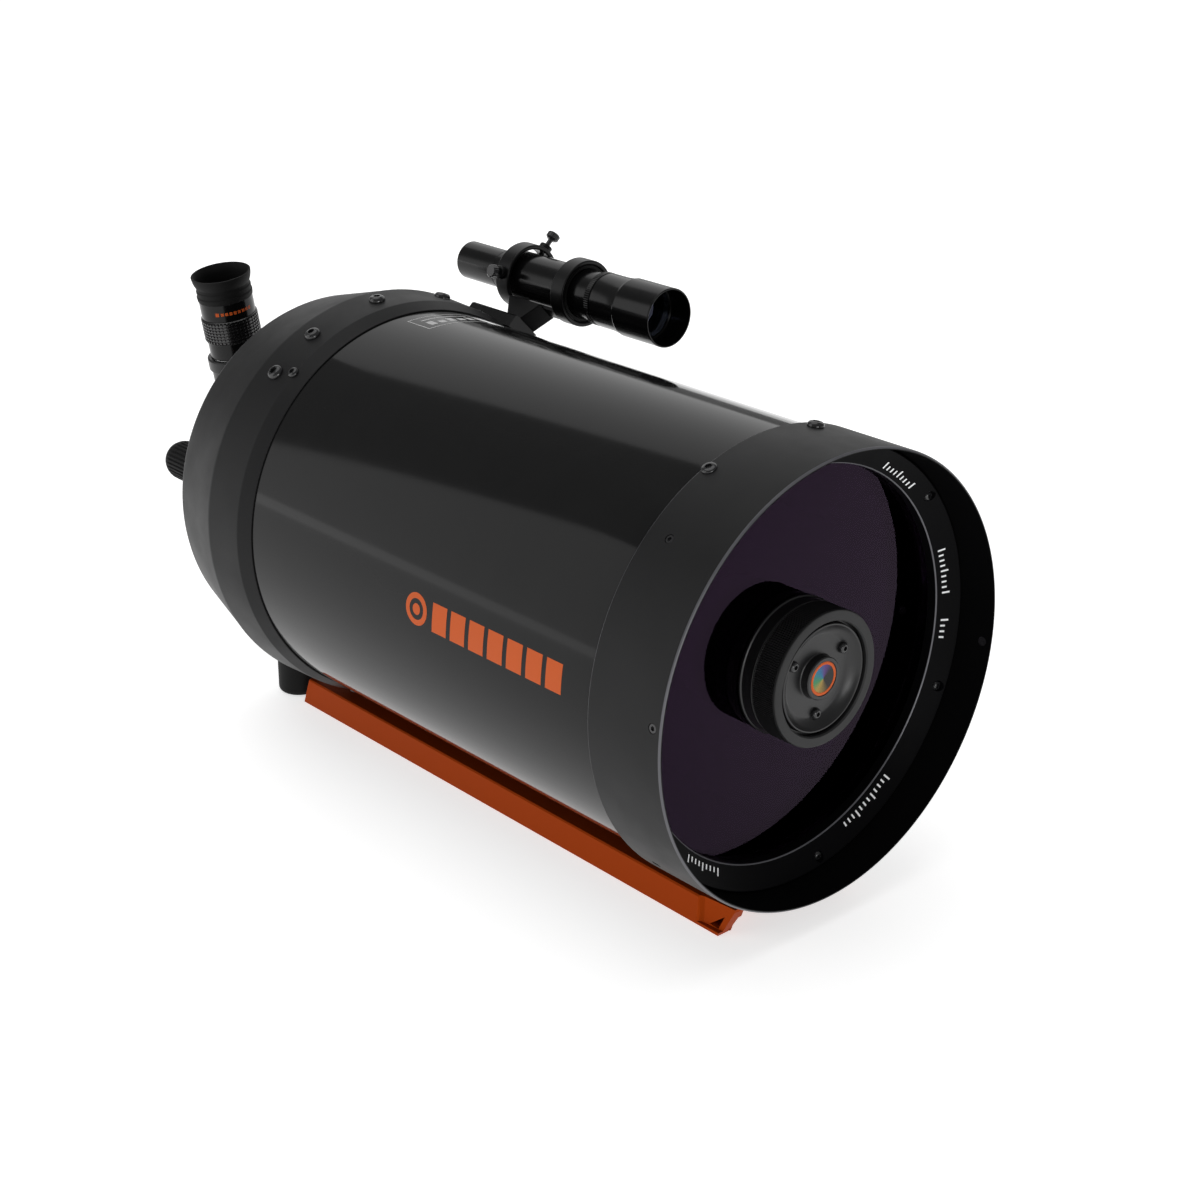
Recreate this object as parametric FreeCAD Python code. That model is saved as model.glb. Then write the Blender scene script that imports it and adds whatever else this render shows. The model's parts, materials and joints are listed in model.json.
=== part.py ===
"""Eight-inch Schmidt-Cassegrain telescope tube on a wide dovetail bar.

Millimetres. The origin is the centre of the dovetail bar's underside, +X points out
of the front of the tube along the optical axis, and +Z is up. One STEP per sub-part.
"""
import FreeCAD, Part
import math
import os

Vector = FreeCAD.Vector
os.makedirs("parts", exist_ok=True)

# ---------------------------------------------------------------- driving dimensions
AXIS_HEIGHT = 133.5          # optical axis above the underside of the bar
FRONT_RIM_X = 210.5          # X of the front rim

APERTURE_R = 101.6           # clear radius of an eight-inch corrector
TUBE_R = 113.6
TUBE_WALL = 1.6
FRONT_CELL_R = 117.5
HOOD_R = 115.7               # inside of the hood in front of the corrector

# depths are measured backwards from the front rim
CORRECTOR_DEPTH = 32.6
CORRECTOR_THICKNESS = 5.0
GASKET_THICKNESS = 0.8
FRONT_CELL_LENGTH = 49.0
TUBE_FRONT_DEPTH = 42.5
REAR_CELL_DEPTH = 333.0
TUBE_REAR_DEPTH = 353.0
REAR_RIDGE_DEPTH = 369.0
REAR_EDGE_DEPTH = 417.0
REAR_FACE_DEPTH = 420.0
REAR_PLATE_INNER_DEPTH = 412.0
PORT_END_DEPTH = 432.0
REAR_CELL_R = 118.0
REAR_RIDGE_R = 119.2
REAR_EDGE_R = 107.0

PORT_BORE_R = 19.0
PORT_THREAD_R = 25.4         # two-inch rear port thread
BARREL_R = 15.875            # one-and-a-quarter-inch eyepiece barrel
BARREL_BORE_R = 15.93        # running fit around such a barrel

SECONDARY_R = 35.3
SECONDARY_FACE_DEPTH = 8.5
LOCK_THREAD_R = 33.0
CORRECTOR_HOLE_R = 31.0
COLLIMATION_RADIUS = 20.0
COLLIMATION_ANGLES = (-60.0, 60.0, 180.0)

BAFFLE_R = 22.0
BAFFLE_BORE_R = 19.5
MIRROR_FRONT_DEPTH = 352.0
MIRROR_BACK_DEPTH = 372.0
MIRROR_CURVE_R = 812.0       # radius of curvature of the primary

FOCUS_Y = -67.5
FOCUS_RISE = 4.0             # focuser axis above the optical axis
FOCUS_KNOB_R = 12.0

DIAGONAL_TILT = 8.8          # eyepiece leans from vertical towards -Y, degrees
DIAGONAL_DEPTH = 504.0
DIAGONAL_HALF = 18.5         # half side of the prism body
COLLAR_TOP = 56.4            # top of the eyepiece holder above the optical axis

FINDER_ANGLE = 45.4          # finder sits this far from vertical towards +Y, degrees
FINDER_HEIGHT = 157.5        # finder axis from the optical axis
FINDER_FRONT_DEPTH = 240.5
FINDER_REAR_DEPTH = 420.5
FINDER_RING_R = 19.8
REAR_RING_DEPTHS = (361.0, 372.5)
FRONT_RING_DEPTHS = (311.0, 322.0)

BAR_FRONT_DEPTH = 24.5
BAR_REAR_DEPTH = 389.0
BAR_HEIGHT = 14.1
BAR_TOP_HALF = 44.0
BAR_BOTTOM_HALF = 48.0
BAR_WEB = 6.5
BAR_WALL = 8.0
BAR_CHIN = 5.0                # the bar's front end slopes back by this much

RUNNING = 0.06               # radial clearance of shafts that turn or slide
GAP = 0.3                    # air gap between faces of separate moving bodies

X_AXIS = Vector(1, 0, 0)
Y_AXIS = Vector(0, 1, 0)
Z_AXIS = Vector(0, 0, 1)
AXIS_POINT = Vector(0, 0, AXIS_HEIGHT)


# ---------------------------------------------------------------- construction helpers
def x_at(depth):
    """X coordinate of a depth behind the front rim."""
    return FRONT_RIM_X - depth


def place(shape, at, along=Z_AXIS):
    """Turn a shape built along +Z to point along a direction, then move it."""
    moved = shape.copy()
    moved.Placement = FreeCAD.Placement(at, FreeCAD.Rotation(Z_AXIS, along))
    return moved


def turned(profile, at=Vector(0, 0, 0), along=Z_AXIS):
    """Solid of revolution. A profile point is (height, radius), and an entry of four
    numbers is an arc given by its middle point and its end point."""
    def point(height, radius):
        return Vector(radius, 0, height)

    edges = []
    start = point(*profile[0])
    here = start
    for entry in profile[1:] + [profile[0]]:
        end = point(*entry[-2:])
        if len(entry) == 4:
            edges.append(Part.Arc(here, point(*entry[:2]), end).toShape())
        elif (end - here).Length > 1e-6:
            edges.append(Part.LineSegment(here, end).toShape())
        here = end
    face = Part.Face(Part.Wire(edges))
    solid = face.revolve(Vector(0, 0, 0), Z_AXIS, 360)
    if solid.Volume < 0:
        solid.reverse()
    return place(solid, at, along)


def crown(apex, rim_height, rim_r):
    """Point half way along the spherical crown between an apex on the axis and its rim."""
    sag = apex - rim_height
    radius = (rim_r ** 2 + sag ** 2) / (2 * sag)
    half_angle = math.asin(rim_r / radius) / 2
    return apex - radius + radius * math.cos(half_angle), radius * math.sin(half_angle)


def on_axis(profile, y=0.0, rise=0.0):
    """Solid of revolution about an axis parallel to the optical axis, from points
    (depth, radius) and arcs (depth, radius, depth, radius)."""
    flipped = []
    for entry in profile:
        values = list(entry)
        values[0::2] = [x_at(depth) for depth in values[0::2]]
        flipped.append(tuple(values))
    return turned(flipped, Vector(0, y, AXIS_HEIGHT + rise), X_AXIS)


def pipe(front, rear, outer, inner, y=0.0, rise=0.0, bevel=0.0):
    """Plain tube between two depths, with bevelled outer corners if asked."""
    profile = [(front, inner), (front, outer - bevel), (front + bevel, outer)]
    profile += [(rear - bevel, outer), (rear, outer - bevel), (rear, inner)]
    return on_axis(profile, y, rise)


def rod(front, rear, radius, y=0.0, rise=0.0):
    """Plain cylinder between two depths."""
    return on_axis([(front, 0), (front, radius), (rear, radius), (rear, 0)], y, rise)


def box(x0, x1, y0, y1, z0, z1):
    return Part.makeBox(x1 - x0, y1 - y0, z1 - z0, Vector(x0, y0, z0))


def prism(points, direction):
    """Straight prism on a closed polygon."""
    loop = [Vector(*p) for p in points]
    face = Part.Face(Part.makePolygon(loop + [loop[0]]))
    solid = face.extrude(Vector(*direction))
    if solid.Volume < 0:
        solid.reverse()
    return solid


def hexagon(radius, depth, at, along):
    """Hexagonal prism, the space of an Allen key."""
    points = []
    for k in range(6):
        angle = math.radians(60 * k)
        points.append((radius * math.cos(angle), radius * math.sin(angle), 0))
    return place(prism(points, (0, 0, depth)), at, along)


def around(angle, radius, depth):
    """Point at an angle from +Z towards -Y about the optical axis."""
    turn = math.radians(angle)
    return Vector(x_at(depth), -radius * math.sin(turn), AXIS_HEIGHT + radius * math.cos(turn))


def outward(angle):
    turn = math.radians(angle)
    return Vector(0, -math.sin(turn), math.cos(turn))


def button_screw(at, along, head_r, head_h, shank_r, shank_length):
    """Domed socket-head screw: at is under the head, along points out of the head."""
    crown = head_r * 0.55
    profile = [(-shank_length, 0), (-shank_length, shank_r), (0, shank_r), (0, head_r)]
    profile += [(head_h * 0.72, head_r * 0.86, head_h, crown), (head_h, 0)]
    screw = turned(profile, at, along)
    socket = hexagon(head_r * 0.42, head_h, at + along * (head_h * 0.45), along)
    return screw.cut(socket)


def set_screw(at, along, radius, length):
    """Flush headless screw: at is its outer end."""
    profile = [(-length, 0), (-length, radius), (-0.3, radius), (0, radius - 0.3), (0, 0)]
    screw = turned(profile, at, along)
    return screw.cut(hexagon(radius * 0.5, length, at - along * (radius * 0.9), along))


def flutes(head, at, along, radius, count, flute_r, length):
    """Cut finger flutes around a knob whose base centre is at a point."""
    cutters = []
    for k in range(count):
        angle = 2 * math.pi * k / count
        foot = Vector(radius * math.cos(angle), radius * math.sin(angle), 0)
        cutters.append(Part.makeCylinder(flute_r, length, foot))
    return head.cut(place(Part.makeCompound(cutters), at, along))


def thumbscrew(at, along, shank_r, shank_length, neck, head_r, head_h):
    """Fluted thumbscrew: at is the seat where the shank enters the part."""
    profile = [(-shank_length, 0), (-shank_length, shank_r - 0.3), (-shank_length + 0.5, shank_r)]
    profile += [(neck, shank_r), (neck, head_r * 0.62), (neck + 1.2, head_r)]
    profile += [(neck + head_h - 0.6, head_r), (neck + head_h, head_r - 0.7), (neck + head_h, 0)]
    screw = turned(profile, at, along)
    base = at + along * (neck + 1.0)
    return flutes(screw, base, along, head_r + 0.35, 12, 0.75, head_h)


def finder_frame(shape):
    """Swing a shape built straight above the tube to the finder's own side."""
    swung = shape.copy()
    swung.rotate(AXIS_POINT, X_AXIS, -FINDER_ANGLE)
    return swung


def in_diagonal(shape):
    """Lean a shape built upright about the optical axis to the diagonal's side."""
    leaned = shape.copy()
    leaned.rotate(AXIS_POINT, X_AXIS, DIAGONAL_TILT)
    return leaned


def solids(shapes):
    return Part.makeCompound(shapes)


NODES = {}


def node(name, shape):
    NODES[name] = shape


# ---------------------------------------------------------------- tube and front cell
RETAINER_OUTER_R = 114.7
RETAINER_INNER_R = 102.5
RETAINER_FRONT_DEPTH = 20.5
RETAINER_LIP_DEPTH = 26.8
RETAINER_SCREW_R = 110.6
RETAINER_SCREW_ANGLES = [9.0 + 60 * k for k in range(6)]
CELL_FLANGE_DEPTH = 30.0
CORRECTOR_R = 104.4
SHELF_DEPTH = CORRECTOR_DEPTH + CORRECTOR_THICKNESS + GASKET_THICKNESS
TUBE_SCREW_DEPTH = 45.4
TUBE_SCREW_ANGLES = [23.1 + 90 * k for k in range(4)]
CENTRING_SCREW_DEPTH = 34.6
CENTRING_SCREW_ANGLES = [43.5 + 90 * k for k in range(4)]
HOOD_SCREW_DEPTH = 5.5
HOOD_SCREW_ANGLES = (84.1, -95.9)
TUBE_SCREW_HEAD_R = 4.0
TUBE_SCREW_HEAD_H = 1.5
CENTRING_SCREW_R = 2.4
HOOD_SCREW_R = 2.5
M4_R = 2.0
ACCESSORY_SCREW_ANGLE = -9.5
ACCESSORY_SCREW_DEPTH = 40.3


def make_tube():
    profile = [(TUBE_FRONT_DEPTH, TUBE_R - TUBE_WALL), (TUBE_FRONT_DEPTH, TUBE_R)]
    profile += [(TUBE_REAR_DEPTH, TUBE_R), (TUBE_REAR_DEPTH, TUBE_R - TUBE_WALL)]
    node("main_tube", on_axis(profile))


def make_front_cell():
    outer = FRONT_CELL_R
    profile = [(0.5, HOOD_R), (0, HOOD_R + 0.5), (0, outer - 0.8), (0.25, outer - 0.22, 0.9, outer)]
    profile += [(FRONT_CELL_LENGTH - 1.2, outer), (FRONT_CELL_LENGTH, outer - 1.2)]
    profile += [(FRONT_CELL_LENGTH, TUBE_R), (TUBE_FRONT_DEPTH, TUBE_R)]
    profile += [(TUBE_FRONT_DEPTH, APERTURE_R), (SHELF_DEPTH, APERTURE_R)]
    profile += [(SHELF_DEPTH, CORRECTOR_R + 0.2), (CELL_FLANGE_DEPTH, CORRECTOR_R + 0.2)]
    profile += [(CELL_FLANGE_DEPTH, HOOD_R)]
    cell = on_axis(profile)
    holes = []
    for angle in RETAINER_SCREW_ANGLES:
        holes.append(place(Part.makeCylinder(1.5, 10), around(angle, RETAINER_SCREW_R, 36.0), X_AXIS))
    for angle in CENTRING_SCREW_ANGLES:
        foot = around(angle, CORRECTOR_R, CENTRING_SCREW_DEPTH)
        holes.append(place(Part.makeCylinder(CENTRING_SCREW_R, 20), foot, outward(angle)))
    for angle in HOOD_SCREW_ANGLES:
        foot = around(angle, 110, HOOD_SCREW_DEPTH)
        holes.append(place(Part.makeCylinder(HOOD_SCREW_R, 20), foot, outward(angle)))
    for angle in TUBE_SCREW_ANGLES:
        foot = around(angle, 110, TUBE_SCREW_DEPTH)
        holes.append(place(Part.makeCylinder(M4_R, 20), foot, outward(angle)))
    foot = around(ACCESSORY_SCREW_ANGLE, FRONT_CELL_R - 8, ACCESSORY_SCREW_DEPTH)
    holes.append(place(Part.makeCylinder(M4_R, 20), foot, outward(ACCESSORY_SCREW_ANGLE)))
    for y in BAR_SCREW_YS:
        holes.append(place(Part.makeCylinder(BAR_SCREW_R, 16), Vector(x_at(FRONT_BAR_SCREW_DEPTH), y, 9)))
    node("front_cell", cell.cut(solids(holes)))


def make_corrector():
    rear = CORRECTOR_DEPTH + CORRECTOR_THICKNESS
    profile = [(CORRECTOR_DEPTH, CORRECTOR_HOLE_R), (CORRECTOR_DEPTH, CORRECTOR_R - 0.5)]
    profile += [(CORRECTOR_DEPTH + 0.5, CORRECTOR_R), (rear - 0.5, CORRECTOR_R)]
    profile += [(rear, CORRECTOR_R - 0.5), (rear, CORRECTOR_HOLE_R)]
    node("corrector_plate", on_axis(profile))
    node("corrector_gasket", pipe(rear, SHELF_DEPTH, CORRECTOR_R - 0.4, APERTURE_R + 0.2))


def make_retaining_ring():
    lip = RETAINER_LIP_DEPTH
    profile = [(CELL_FLANGE_DEPTH, RETAINER_OUTER_R), (RETAINER_FRONT_DEPTH + 0.4, RETAINER_OUTER_R)]
    profile += [(RETAINER_FRONT_DEPTH, RETAINER_OUTER_R - 0.5), (lip, RETAINER_INNER_R + 0.5)]
    profile += [(lip + 0.15, RETAINER_INNER_R + 0.12, lip + 0.5, RETAINER_INNER_R)]
    profile += [(CORRECTOR_DEPTH, RETAINER_INNER_R), (CORRECTOR_DEPTH, CORRECTOR_R)]
    profile += [(CELL_FLANGE_DEPTH, CORRECTOR_R)]
    ring = on_axis(profile)
    pockets = []
    screws = []
    for angle in RETAINER_SCREW_ANGLES:
        seat = around(angle, RETAINER_SCREW_R, 24.6)
        pockets.append(place(Part.makeCylinder(2.9, 10), seat, X_AXIS))
        pockets.append(place(Part.makeCylinder(1.5, 10), seat - X_AXIS * 9, X_AXIS))
        screws.append(button_screw(seat, X_AXIS, 2.6, 2.2, 1.5, 10))
    node("corrector_retaining_ring", ring.cut(solids(pockets)))
    node("retaining_ring_screws", solids(screws))


def make_front_cell_screws():
    screws = []
    for angle in TUBE_SCREW_ANGLES:
        at = around(angle, FRONT_CELL_R, TUBE_SCREW_DEPTH)
        screws.append(button_screw(at, outward(angle), TUBE_SCREW_HEAD_R, TUBE_SCREW_HEAD_H, M4_R, 3.9))
    for angle in CENTRING_SCREW_ANGLES:
        at = around(angle, FRONT_CELL_R, CENTRING_SCREW_DEPTH)
        screws.append(set_screw(at, outward(angle), CENTRING_SCREW_R, FRONT_CELL_R - CORRECTOR_R - 0.2))
    for angle in HOOD_SCREW_ANGLES:
        at = around(angle, FRONT_CELL_R, HOOD_SCREW_DEPTH)
        screws.append(set_screw(at, outward(angle), HOOD_SCREW_R, FRONT_CELL_R - HOOD_R))
    node("front_cell_set_screws", solids(screws))


# ---------------------------------------------------------------- secondary assembly
HOUSING_FLANGE_R = 35.9
HOUSING_FLANGE_DEPTH = 31.0
HOUSING_RING_DEPTH = 24.0
HOUSING_SLEEVE_R = 30.9
HOUSING_BORE_R = 28.2
HOUSING_SLEEVE_DEPTH = 46.0
CELL_RIM_R = 28.1
DISH_DEPTH = 14.5
DISH_RIM_DEPTH = 9.9
HUB_R = 11.2
HUB_DEPTH = 9.6
BADGE_R = 8.8


def make_secondary_housing():
    profile = [(HOUSING_SLEEVE_DEPTH, HOUSING_BORE_R), (HOUSING_SLEEVE_DEPTH, HOUSING_SLEEVE_R)]
    profile += [(CORRECTOR_DEPTH, HOUSING_SLEEVE_R), (CORRECTOR_DEPTH, HOUSING_FLANGE_R - 0.6)]
    profile += [(CORRECTOR_DEPTH - 0.6, HOUSING_FLANGE_R), (HOUSING_FLANGE_DEPTH, HOUSING_FLANGE_R)]
    profile += [(HOUSING_FLANGE_DEPTH - 0.6, SECONDARY_R - 0.2)]
    profile += [(HOUSING_RING_DEPTH + 0.3, SECONDARY_R - 0.2)]
    profile += [(HOUSING_RING_DEPTH, SECONDARY_R - 0.5), (HOUSING_RING_DEPTH, LOCK_THREAD_R)]
    profile += [(DISH_RIM_DEPTH + 3.0, LOCK_THREAD_R), (DISH_RIM_DEPTH + 3.0, HOUSING_BORE_R)]
    node("secondary_housing", on_axis(profile))


def make_secondary_baffle():
    rear = CORRECTOR_DEPTH + CORRECTOR_THICKNESS
    profile = [(rear, HOUSING_SLEEVE_R), (rear, 36.0), (rear + 4, 36.0), (rear + 5, 35.0)]
    profile += [(78.0, 33.5), (78.0, 32.3), (HOUSING_SLEEVE_DEPTH + 0.5, 33.2)]
    profile += [(HOUSING_SLEEVE_DEPTH + 0.5, HOUSING_SLEEVE_R)]
    node("secondary_baffle", on_axis(profile))


def make_secondary_lock_ring():
    face = SECONDARY_FACE_DEPTH
    rear = HOUSING_RING_DEPTH - GAP
    bore = LOCK_THREAD_R + RUNNING
    profile = [(face + 0.7, 29.4), (face, 30.1), (face, SECONDARY_R - 0.9)]
    profile += [(face + 0.26, SECONDARY_R - 0.26, face + 0.9, SECONDARY_R)]
    profile += [(rear - 0.4, SECONDARY_R), (rear, SECONDARY_R - 0.4), (rear, bore)]
    profile += [(face + 2.6, bore), (face + 2.6, 29.4)]
    node("secondary_lock_ring", on_axis(profile))


def make_secondary_cell():
    rim = CELL_RIM_R
    profile = [(19.0, 0), (19.0, rim), (DISH_RIM_DEPTH + 0.3, rim), (DISH_RIM_DEPTH, rim - 0.3)]
    profile += [(DISH_RIM_DEPTH, rim - 1.0), (DISH_DEPTH - 0.6, 22.6)]
    profile += [(DISH_DEPTH - 0.1, 21.9, DISH_DEPTH, 21.0)]
    profile += [(DISH_DEPTH, HUB_R), (HUB_DEPTH + 0.5, HUB_R), (HUB_DEPTH, HUB_R - 0.5)]
    profile += [(HUB_DEPTH, BADGE_R + 0.1), (HUB_DEPTH + 0.5, BADGE_R + 0.1), (HUB_DEPTH + 0.5, 0)]
    cell = on_axis(profile)
    holes = []
    for k, angle in enumerate(COLLIMATION_ANGLES):
        seat = around(angle, COLLIMATION_RADIUS, DISH_DEPTH)
        holes.append(place(Part.makeCylinder(1.5 + RUNNING, 20), seat - X_AXIS * 10, X_AXIS))
        holes.append(place(Part.makeCylinder(3.2, 6), seat, X_AXIS))
        head = button_screw(seat + X_AXIS * 0.1, X_AXIS, 2.9, 2.3, 1.5, 4.4)
        node("collimation_screw_%d" % (k + 1), head)
    node("secondary_cell", cell.cut(solids(holes)))
    profile = [(19.4, 0), (19.4, 27.4), (29.0, 27.4), (*crown(30.6, 29.0, 27.4), 30.6, 0)]
    node("secondary_mirror", on_axis(profile))


# ---------------------------------------------------------------- rear cell and focuser
REAR_SCREW_ANGLES = (-19.0, 3.8, 26.3, 41.2)
REAR_SCREW_DEPTH = 355.0
REAR_SCREW_SEAT_R = 118.5
REAR_SCREW_HEAD_R = 4.7
REAR_TUBE_SCREW_DEPTH = 343.0
REAR_TUBE_SCREW_HEAD_R = 3.3
REAR_TUBE_SCREW_ANGLES = [39.2 + 120 * k for k in range(3)]
CELL_CAVITY_R = 110.5
FOCUS_HOLE_R = 8.5
BUSHING_BORE_R = 7.5
FOCUS_SCREW_R = 4.0
KNOB_FRONT_DEPTH = 441.0
KNOB_REAR_DEPTH = 487.0


def make_rear_cell():
    cell_r = REAR_CELL_R
    face = REAR_FACE_DEPTH
    profile = [(REAR_CELL_DEPTH, TUBE_R), (REAR_CELL_DEPTH, TUBE_R + 0.6), (341.0, cell_r - 0.3)]
    profile += [(342.0, cell_r), (REAR_RIDGE_DEPTH - 1.5, REAR_RIDGE_R)]
    profile += [(REAR_RIDGE_DEPTH, REAR_RIDGE_R - 0.1, REAR_RIDGE_DEPTH + 1.5, REAR_RIDGE_R - 0.5)]
    profile += [(REAR_EDGE_DEPTH - 2.0, REAR_EDGE_R)]
    profile += [(face - 0.7, REAR_EDGE_R - 2.0, face, REAR_EDGE_R - 5.0)]
    profile += [(face, 44.0), (face + 3.0, 41.0), (face + 3.0, 30.0), (face + 1.0, 29.0)]
    profile += [(face + 1.0, PORT_THREAD_R), (PORT_END_DEPTH - 0.6, PORT_THREAD_R)]
    profile += [(PORT_END_DEPTH, PORT_THREAD_R - 0.6), (PORT_END_DEPTH, PORT_BORE_R)]
    profile += [(REAR_PLATE_INNER_DEPTH, PORT_BORE_R), (REAR_PLATE_INNER_DEPTH, 101.0)]
    profile += [(374.0, CELL_CAVITY_R), (TUBE_REAR_DEPTH, CELL_CAVITY_R), (TUBE_REAR_DEPTH, TUBE_R)]
    cell = on_axis(profile)
    holes = [rod(400, 430, FOCUS_HOLE_R, FOCUS_Y, FOCUS_RISE)]
    for angle in REAR_SCREW_ANGLES:
        foot = around(angle, cell_r - 4, REAR_SCREW_DEPTH)
        seat = around(angle, REAR_SCREW_SEAT_R, REAR_SCREW_DEPTH)
        holes.append(place(Part.makeCylinder(M4_R, 20), foot, outward(angle)))
        holes.append(place(Part.makeCylinder(REAR_SCREW_HEAD_R + 0.1, 5), seat, outward(angle)))
    for angle in REAR_TUBE_SCREW_ANGLES:
        foot = around(angle, 110, REAR_TUBE_SCREW_DEPTH)
        seat = around(angle, cell_r - 0.1, REAR_TUBE_SCREW_DEPTH)
        holes.append(place(Part.makeCylinder(1.6, 20), foot, outward(angle)))
        holes.append(place(Part.makeCylinder(REAR_TUBE_SCREW_HEAD_R + 0.1, 5), seat, outward(angle)))
    for y in BAR_SCREW_YS:
        holes.append(place(Part.makeCylinder(BAR_SCREW_R, 16), Vector(x_at(REAR_BAR_SCREW_DEPTH), y, 9)))
    for depth in SHOE_SCREW_DEPTHS:
        hole = Part.makeCylinder(1.5, 20, Vector(x_at(depth), 0, AXIS_HEIGHT + 112.6))
        holes.append(finder_frame(hole))
    node("rear_cell", cell.cut(solids(holes)))


def make_rear_cell_screws():
    at = around(ACCESSORY_SCREW_ANGLE, FRONT_CELL_R, ACCESSORY_SCREW_DEPTH)
    screws = [button_screw(at, outward(ACCESSORY_SCREW_ANGLE), 4.3, 2.6, M4_R, 7.5)]
    for angle in REAR_SCREW_ANGLES:
        at = around(angle, REAR_SCREW_SEAT_R, REAR_SCREW_DEPTH)
        screws.append(button_screw(at, outward(angle), REAR_SCREW_HEAD_R, 2.8, M4_R, 4.4))
    node("accessory_screws", solids(screws))
    screws = []
    for angle in REAR_TUBE_SCREW_ANGLES:
        at = around(angle, REAR_CELL_R - 0.1, REAR_TUBE_SCREW_DEPTH)
        screws.append(button_screw(at, outward(angle), REAR_TUBE_SCREW_HEAD_R, 1.8, 1.6, 4.3))
    node("rear_tube_screws", solids(screws))


def make_mirror():
    rear = MIRROR_BACK_DEPTH
    front = MIRROR_FRONT_DEPTH

    def curve_depth(radius):
        sag = MIRROR_CURVE_R - math.sqrt(MIRROR_CURVE_R ** 2 - radius ** 2)
        edge = MIRROR_CURVE_R - math.sqrt(MIRROR_CURVE_R ** 2 - APERTURE_R ** 2)
        return front + edge - sag

    inner = 27.4
    middle = (inner + APERTURE_R) / 2
    profile = [(rear, inner), (curve_depth(inner), inner)]
    profile += [(curve_depth(middle), middle, front, APERTURE_R)]
    profile += [(rear - 1, APERTURE_R), (rear, APERTURE_R - 1)]
    node("primary_mirror", on_axis(profile))
    sleeve = [(344.0, BAFFLE_R + RUNNING), (344.0, 27.0), (rear, 27.0), (rear, 46.0), (rear + 5, 46.0)]
    sleeve += [(rear + 5, 27.0), (392.0, 27.0), (398.0, 27.0), (398.0, BAFFLE_R + RUNNING)]
    node("mirror_carrier", on_axis(sleeve))
    node("mirror_lock_ring", pipe(front + 1.0, curve_depth(33.0), 33.0, 27.0, bevel=0.6))
    nut_x = x_at(398.0)
    arm = box(nut_x, nut_x + 6, FOCUS_Y - 9, -20, AXIS_HEIGHT + FOCUS_RISE - 9, AXIS_HEIGHT + FOCUS_RISE + 9)
    arm = arm.fuse(rod(392, 398, 33.0))
    holes = [rod(380, 410, 27.0), rod(380, 410, FOCUS_SCREW_R + RUNNING, FOCUS_Y, FOCUS_RISE)]
    node("focus_arm", arm.cut(solids(holes)).removeSplitter())


def make_baffle_tube():
    flange_front = REAR_PLATE_INNER_DEPTH - 4.0
    profile = [(214.0, BAFFLE_BORE_R), (214.0, BAFFLE_R - 0.5), (214.5, BAFFLE_R), (flange_front, BAFFLE_R)]
    profile += [(flange_front, 34.0), (REAR_PLATE_INNER_DEPTH, 34.0), (REAR_PLATE_INNER_DEPTH, BAFFLE_BORE_R)]
    node("primary_baffle_tube", on_axis(profile))


def make_focuser():
    face = REAR_FACE_DEPTH
    bore = BUSHING_BORE_R + RUNNING
    profile = [(face, bore), (face, 17.0), (face + 3.4, 17.0), (face + 4.0, 16.4), (face + 4.0, 11.0)]
    profile += [(439.4, 11.0), (440.0, 10.4), (440.0, FOCUS_SCREW_R + RUNNING)]
    profile += [(436.0, FOCUS_SCREW_R + RUNNING), (436.0, bore)]
    bushing = on_axis(profile, FOCUS_Y, FOCUS_RISE)
    holes = []
    screws = []
    for k in range(3):
        angle = math.radians(90 + 120 * k)
        seat = Vector(x_at(face + 4.0), FOCUS_Y + 13.8 * math.cos(angle), AXIS_HEIGHT + FOCUS_RISE)
        seat = seat + Vector(0, 0, 13.8 * math.sin(angle))
        holes.append(place(Part.makeCylinder(1.3, 10), seat, X_AXIS))
        screws.append(button_screw(seat, -X_AXIS, 2.3, 1.6, 1.3, 3.9))
    node("focus_bushing", bushing.cut(solids(holes)))
    node("focus_bushing_screws", solids(screws))
    thread = FOCUS_SCREW_R
    profile = [(382.0, 0), (382.0, thread - 0.4), (382.5, thread), (416.0, thread)]
    profile += [(416.0, BUSHING_BORE_R), (435.6, BUSHING_BORE_R), (435.6, thread)]
    profile += [(474.0, thread), (474.0, 0)]
    node("focus_screw", on_axis(profile, FOCUS_Y, FOCUS_RISE))
    make_focus_knob()


def make_focus_knob():
    front = KNOB_FRONT_DEPTH
    rear = KNOB_REAR_DEPTH
    profile = [(front, FOCUS_SCREW_R), (front, 10.6), (front + 1.0, 11.4), (front + 6.0, 11.4)]
    profile += [(front + 6.6, FOCUS_KNOB_R), (rear - 9.0, FOCUS_KNOB_R)]
    profile += [(rear - 4.4, FOCUS_KNOB_R - 1.3, rear - 1.5, 7.0), (*crown(rear, rear - 1.5, 7.0), rear, 0)]
    profile += [(474.0, 0), (474.0, FOCUS_SCREW_R)]
    knob = on_axis(profile, FOCUS_Y, FOCUS_RISE)
    base = Vector(x_at(front + 7.5), FOCUS_Y, AXIS_HEIGHT + FOCUS_RISE)
    node("focus_knob", flutes(knob, base, -X_AXIS, FOCUS_KNOB_R + 0.5, 20, 1.2, 27))


# ---------------------------------------------------------------- visual back, diagonal
BACK_END_DEPTH = 466.0
BACK_SCREW_DEPTH = 458.0


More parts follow.
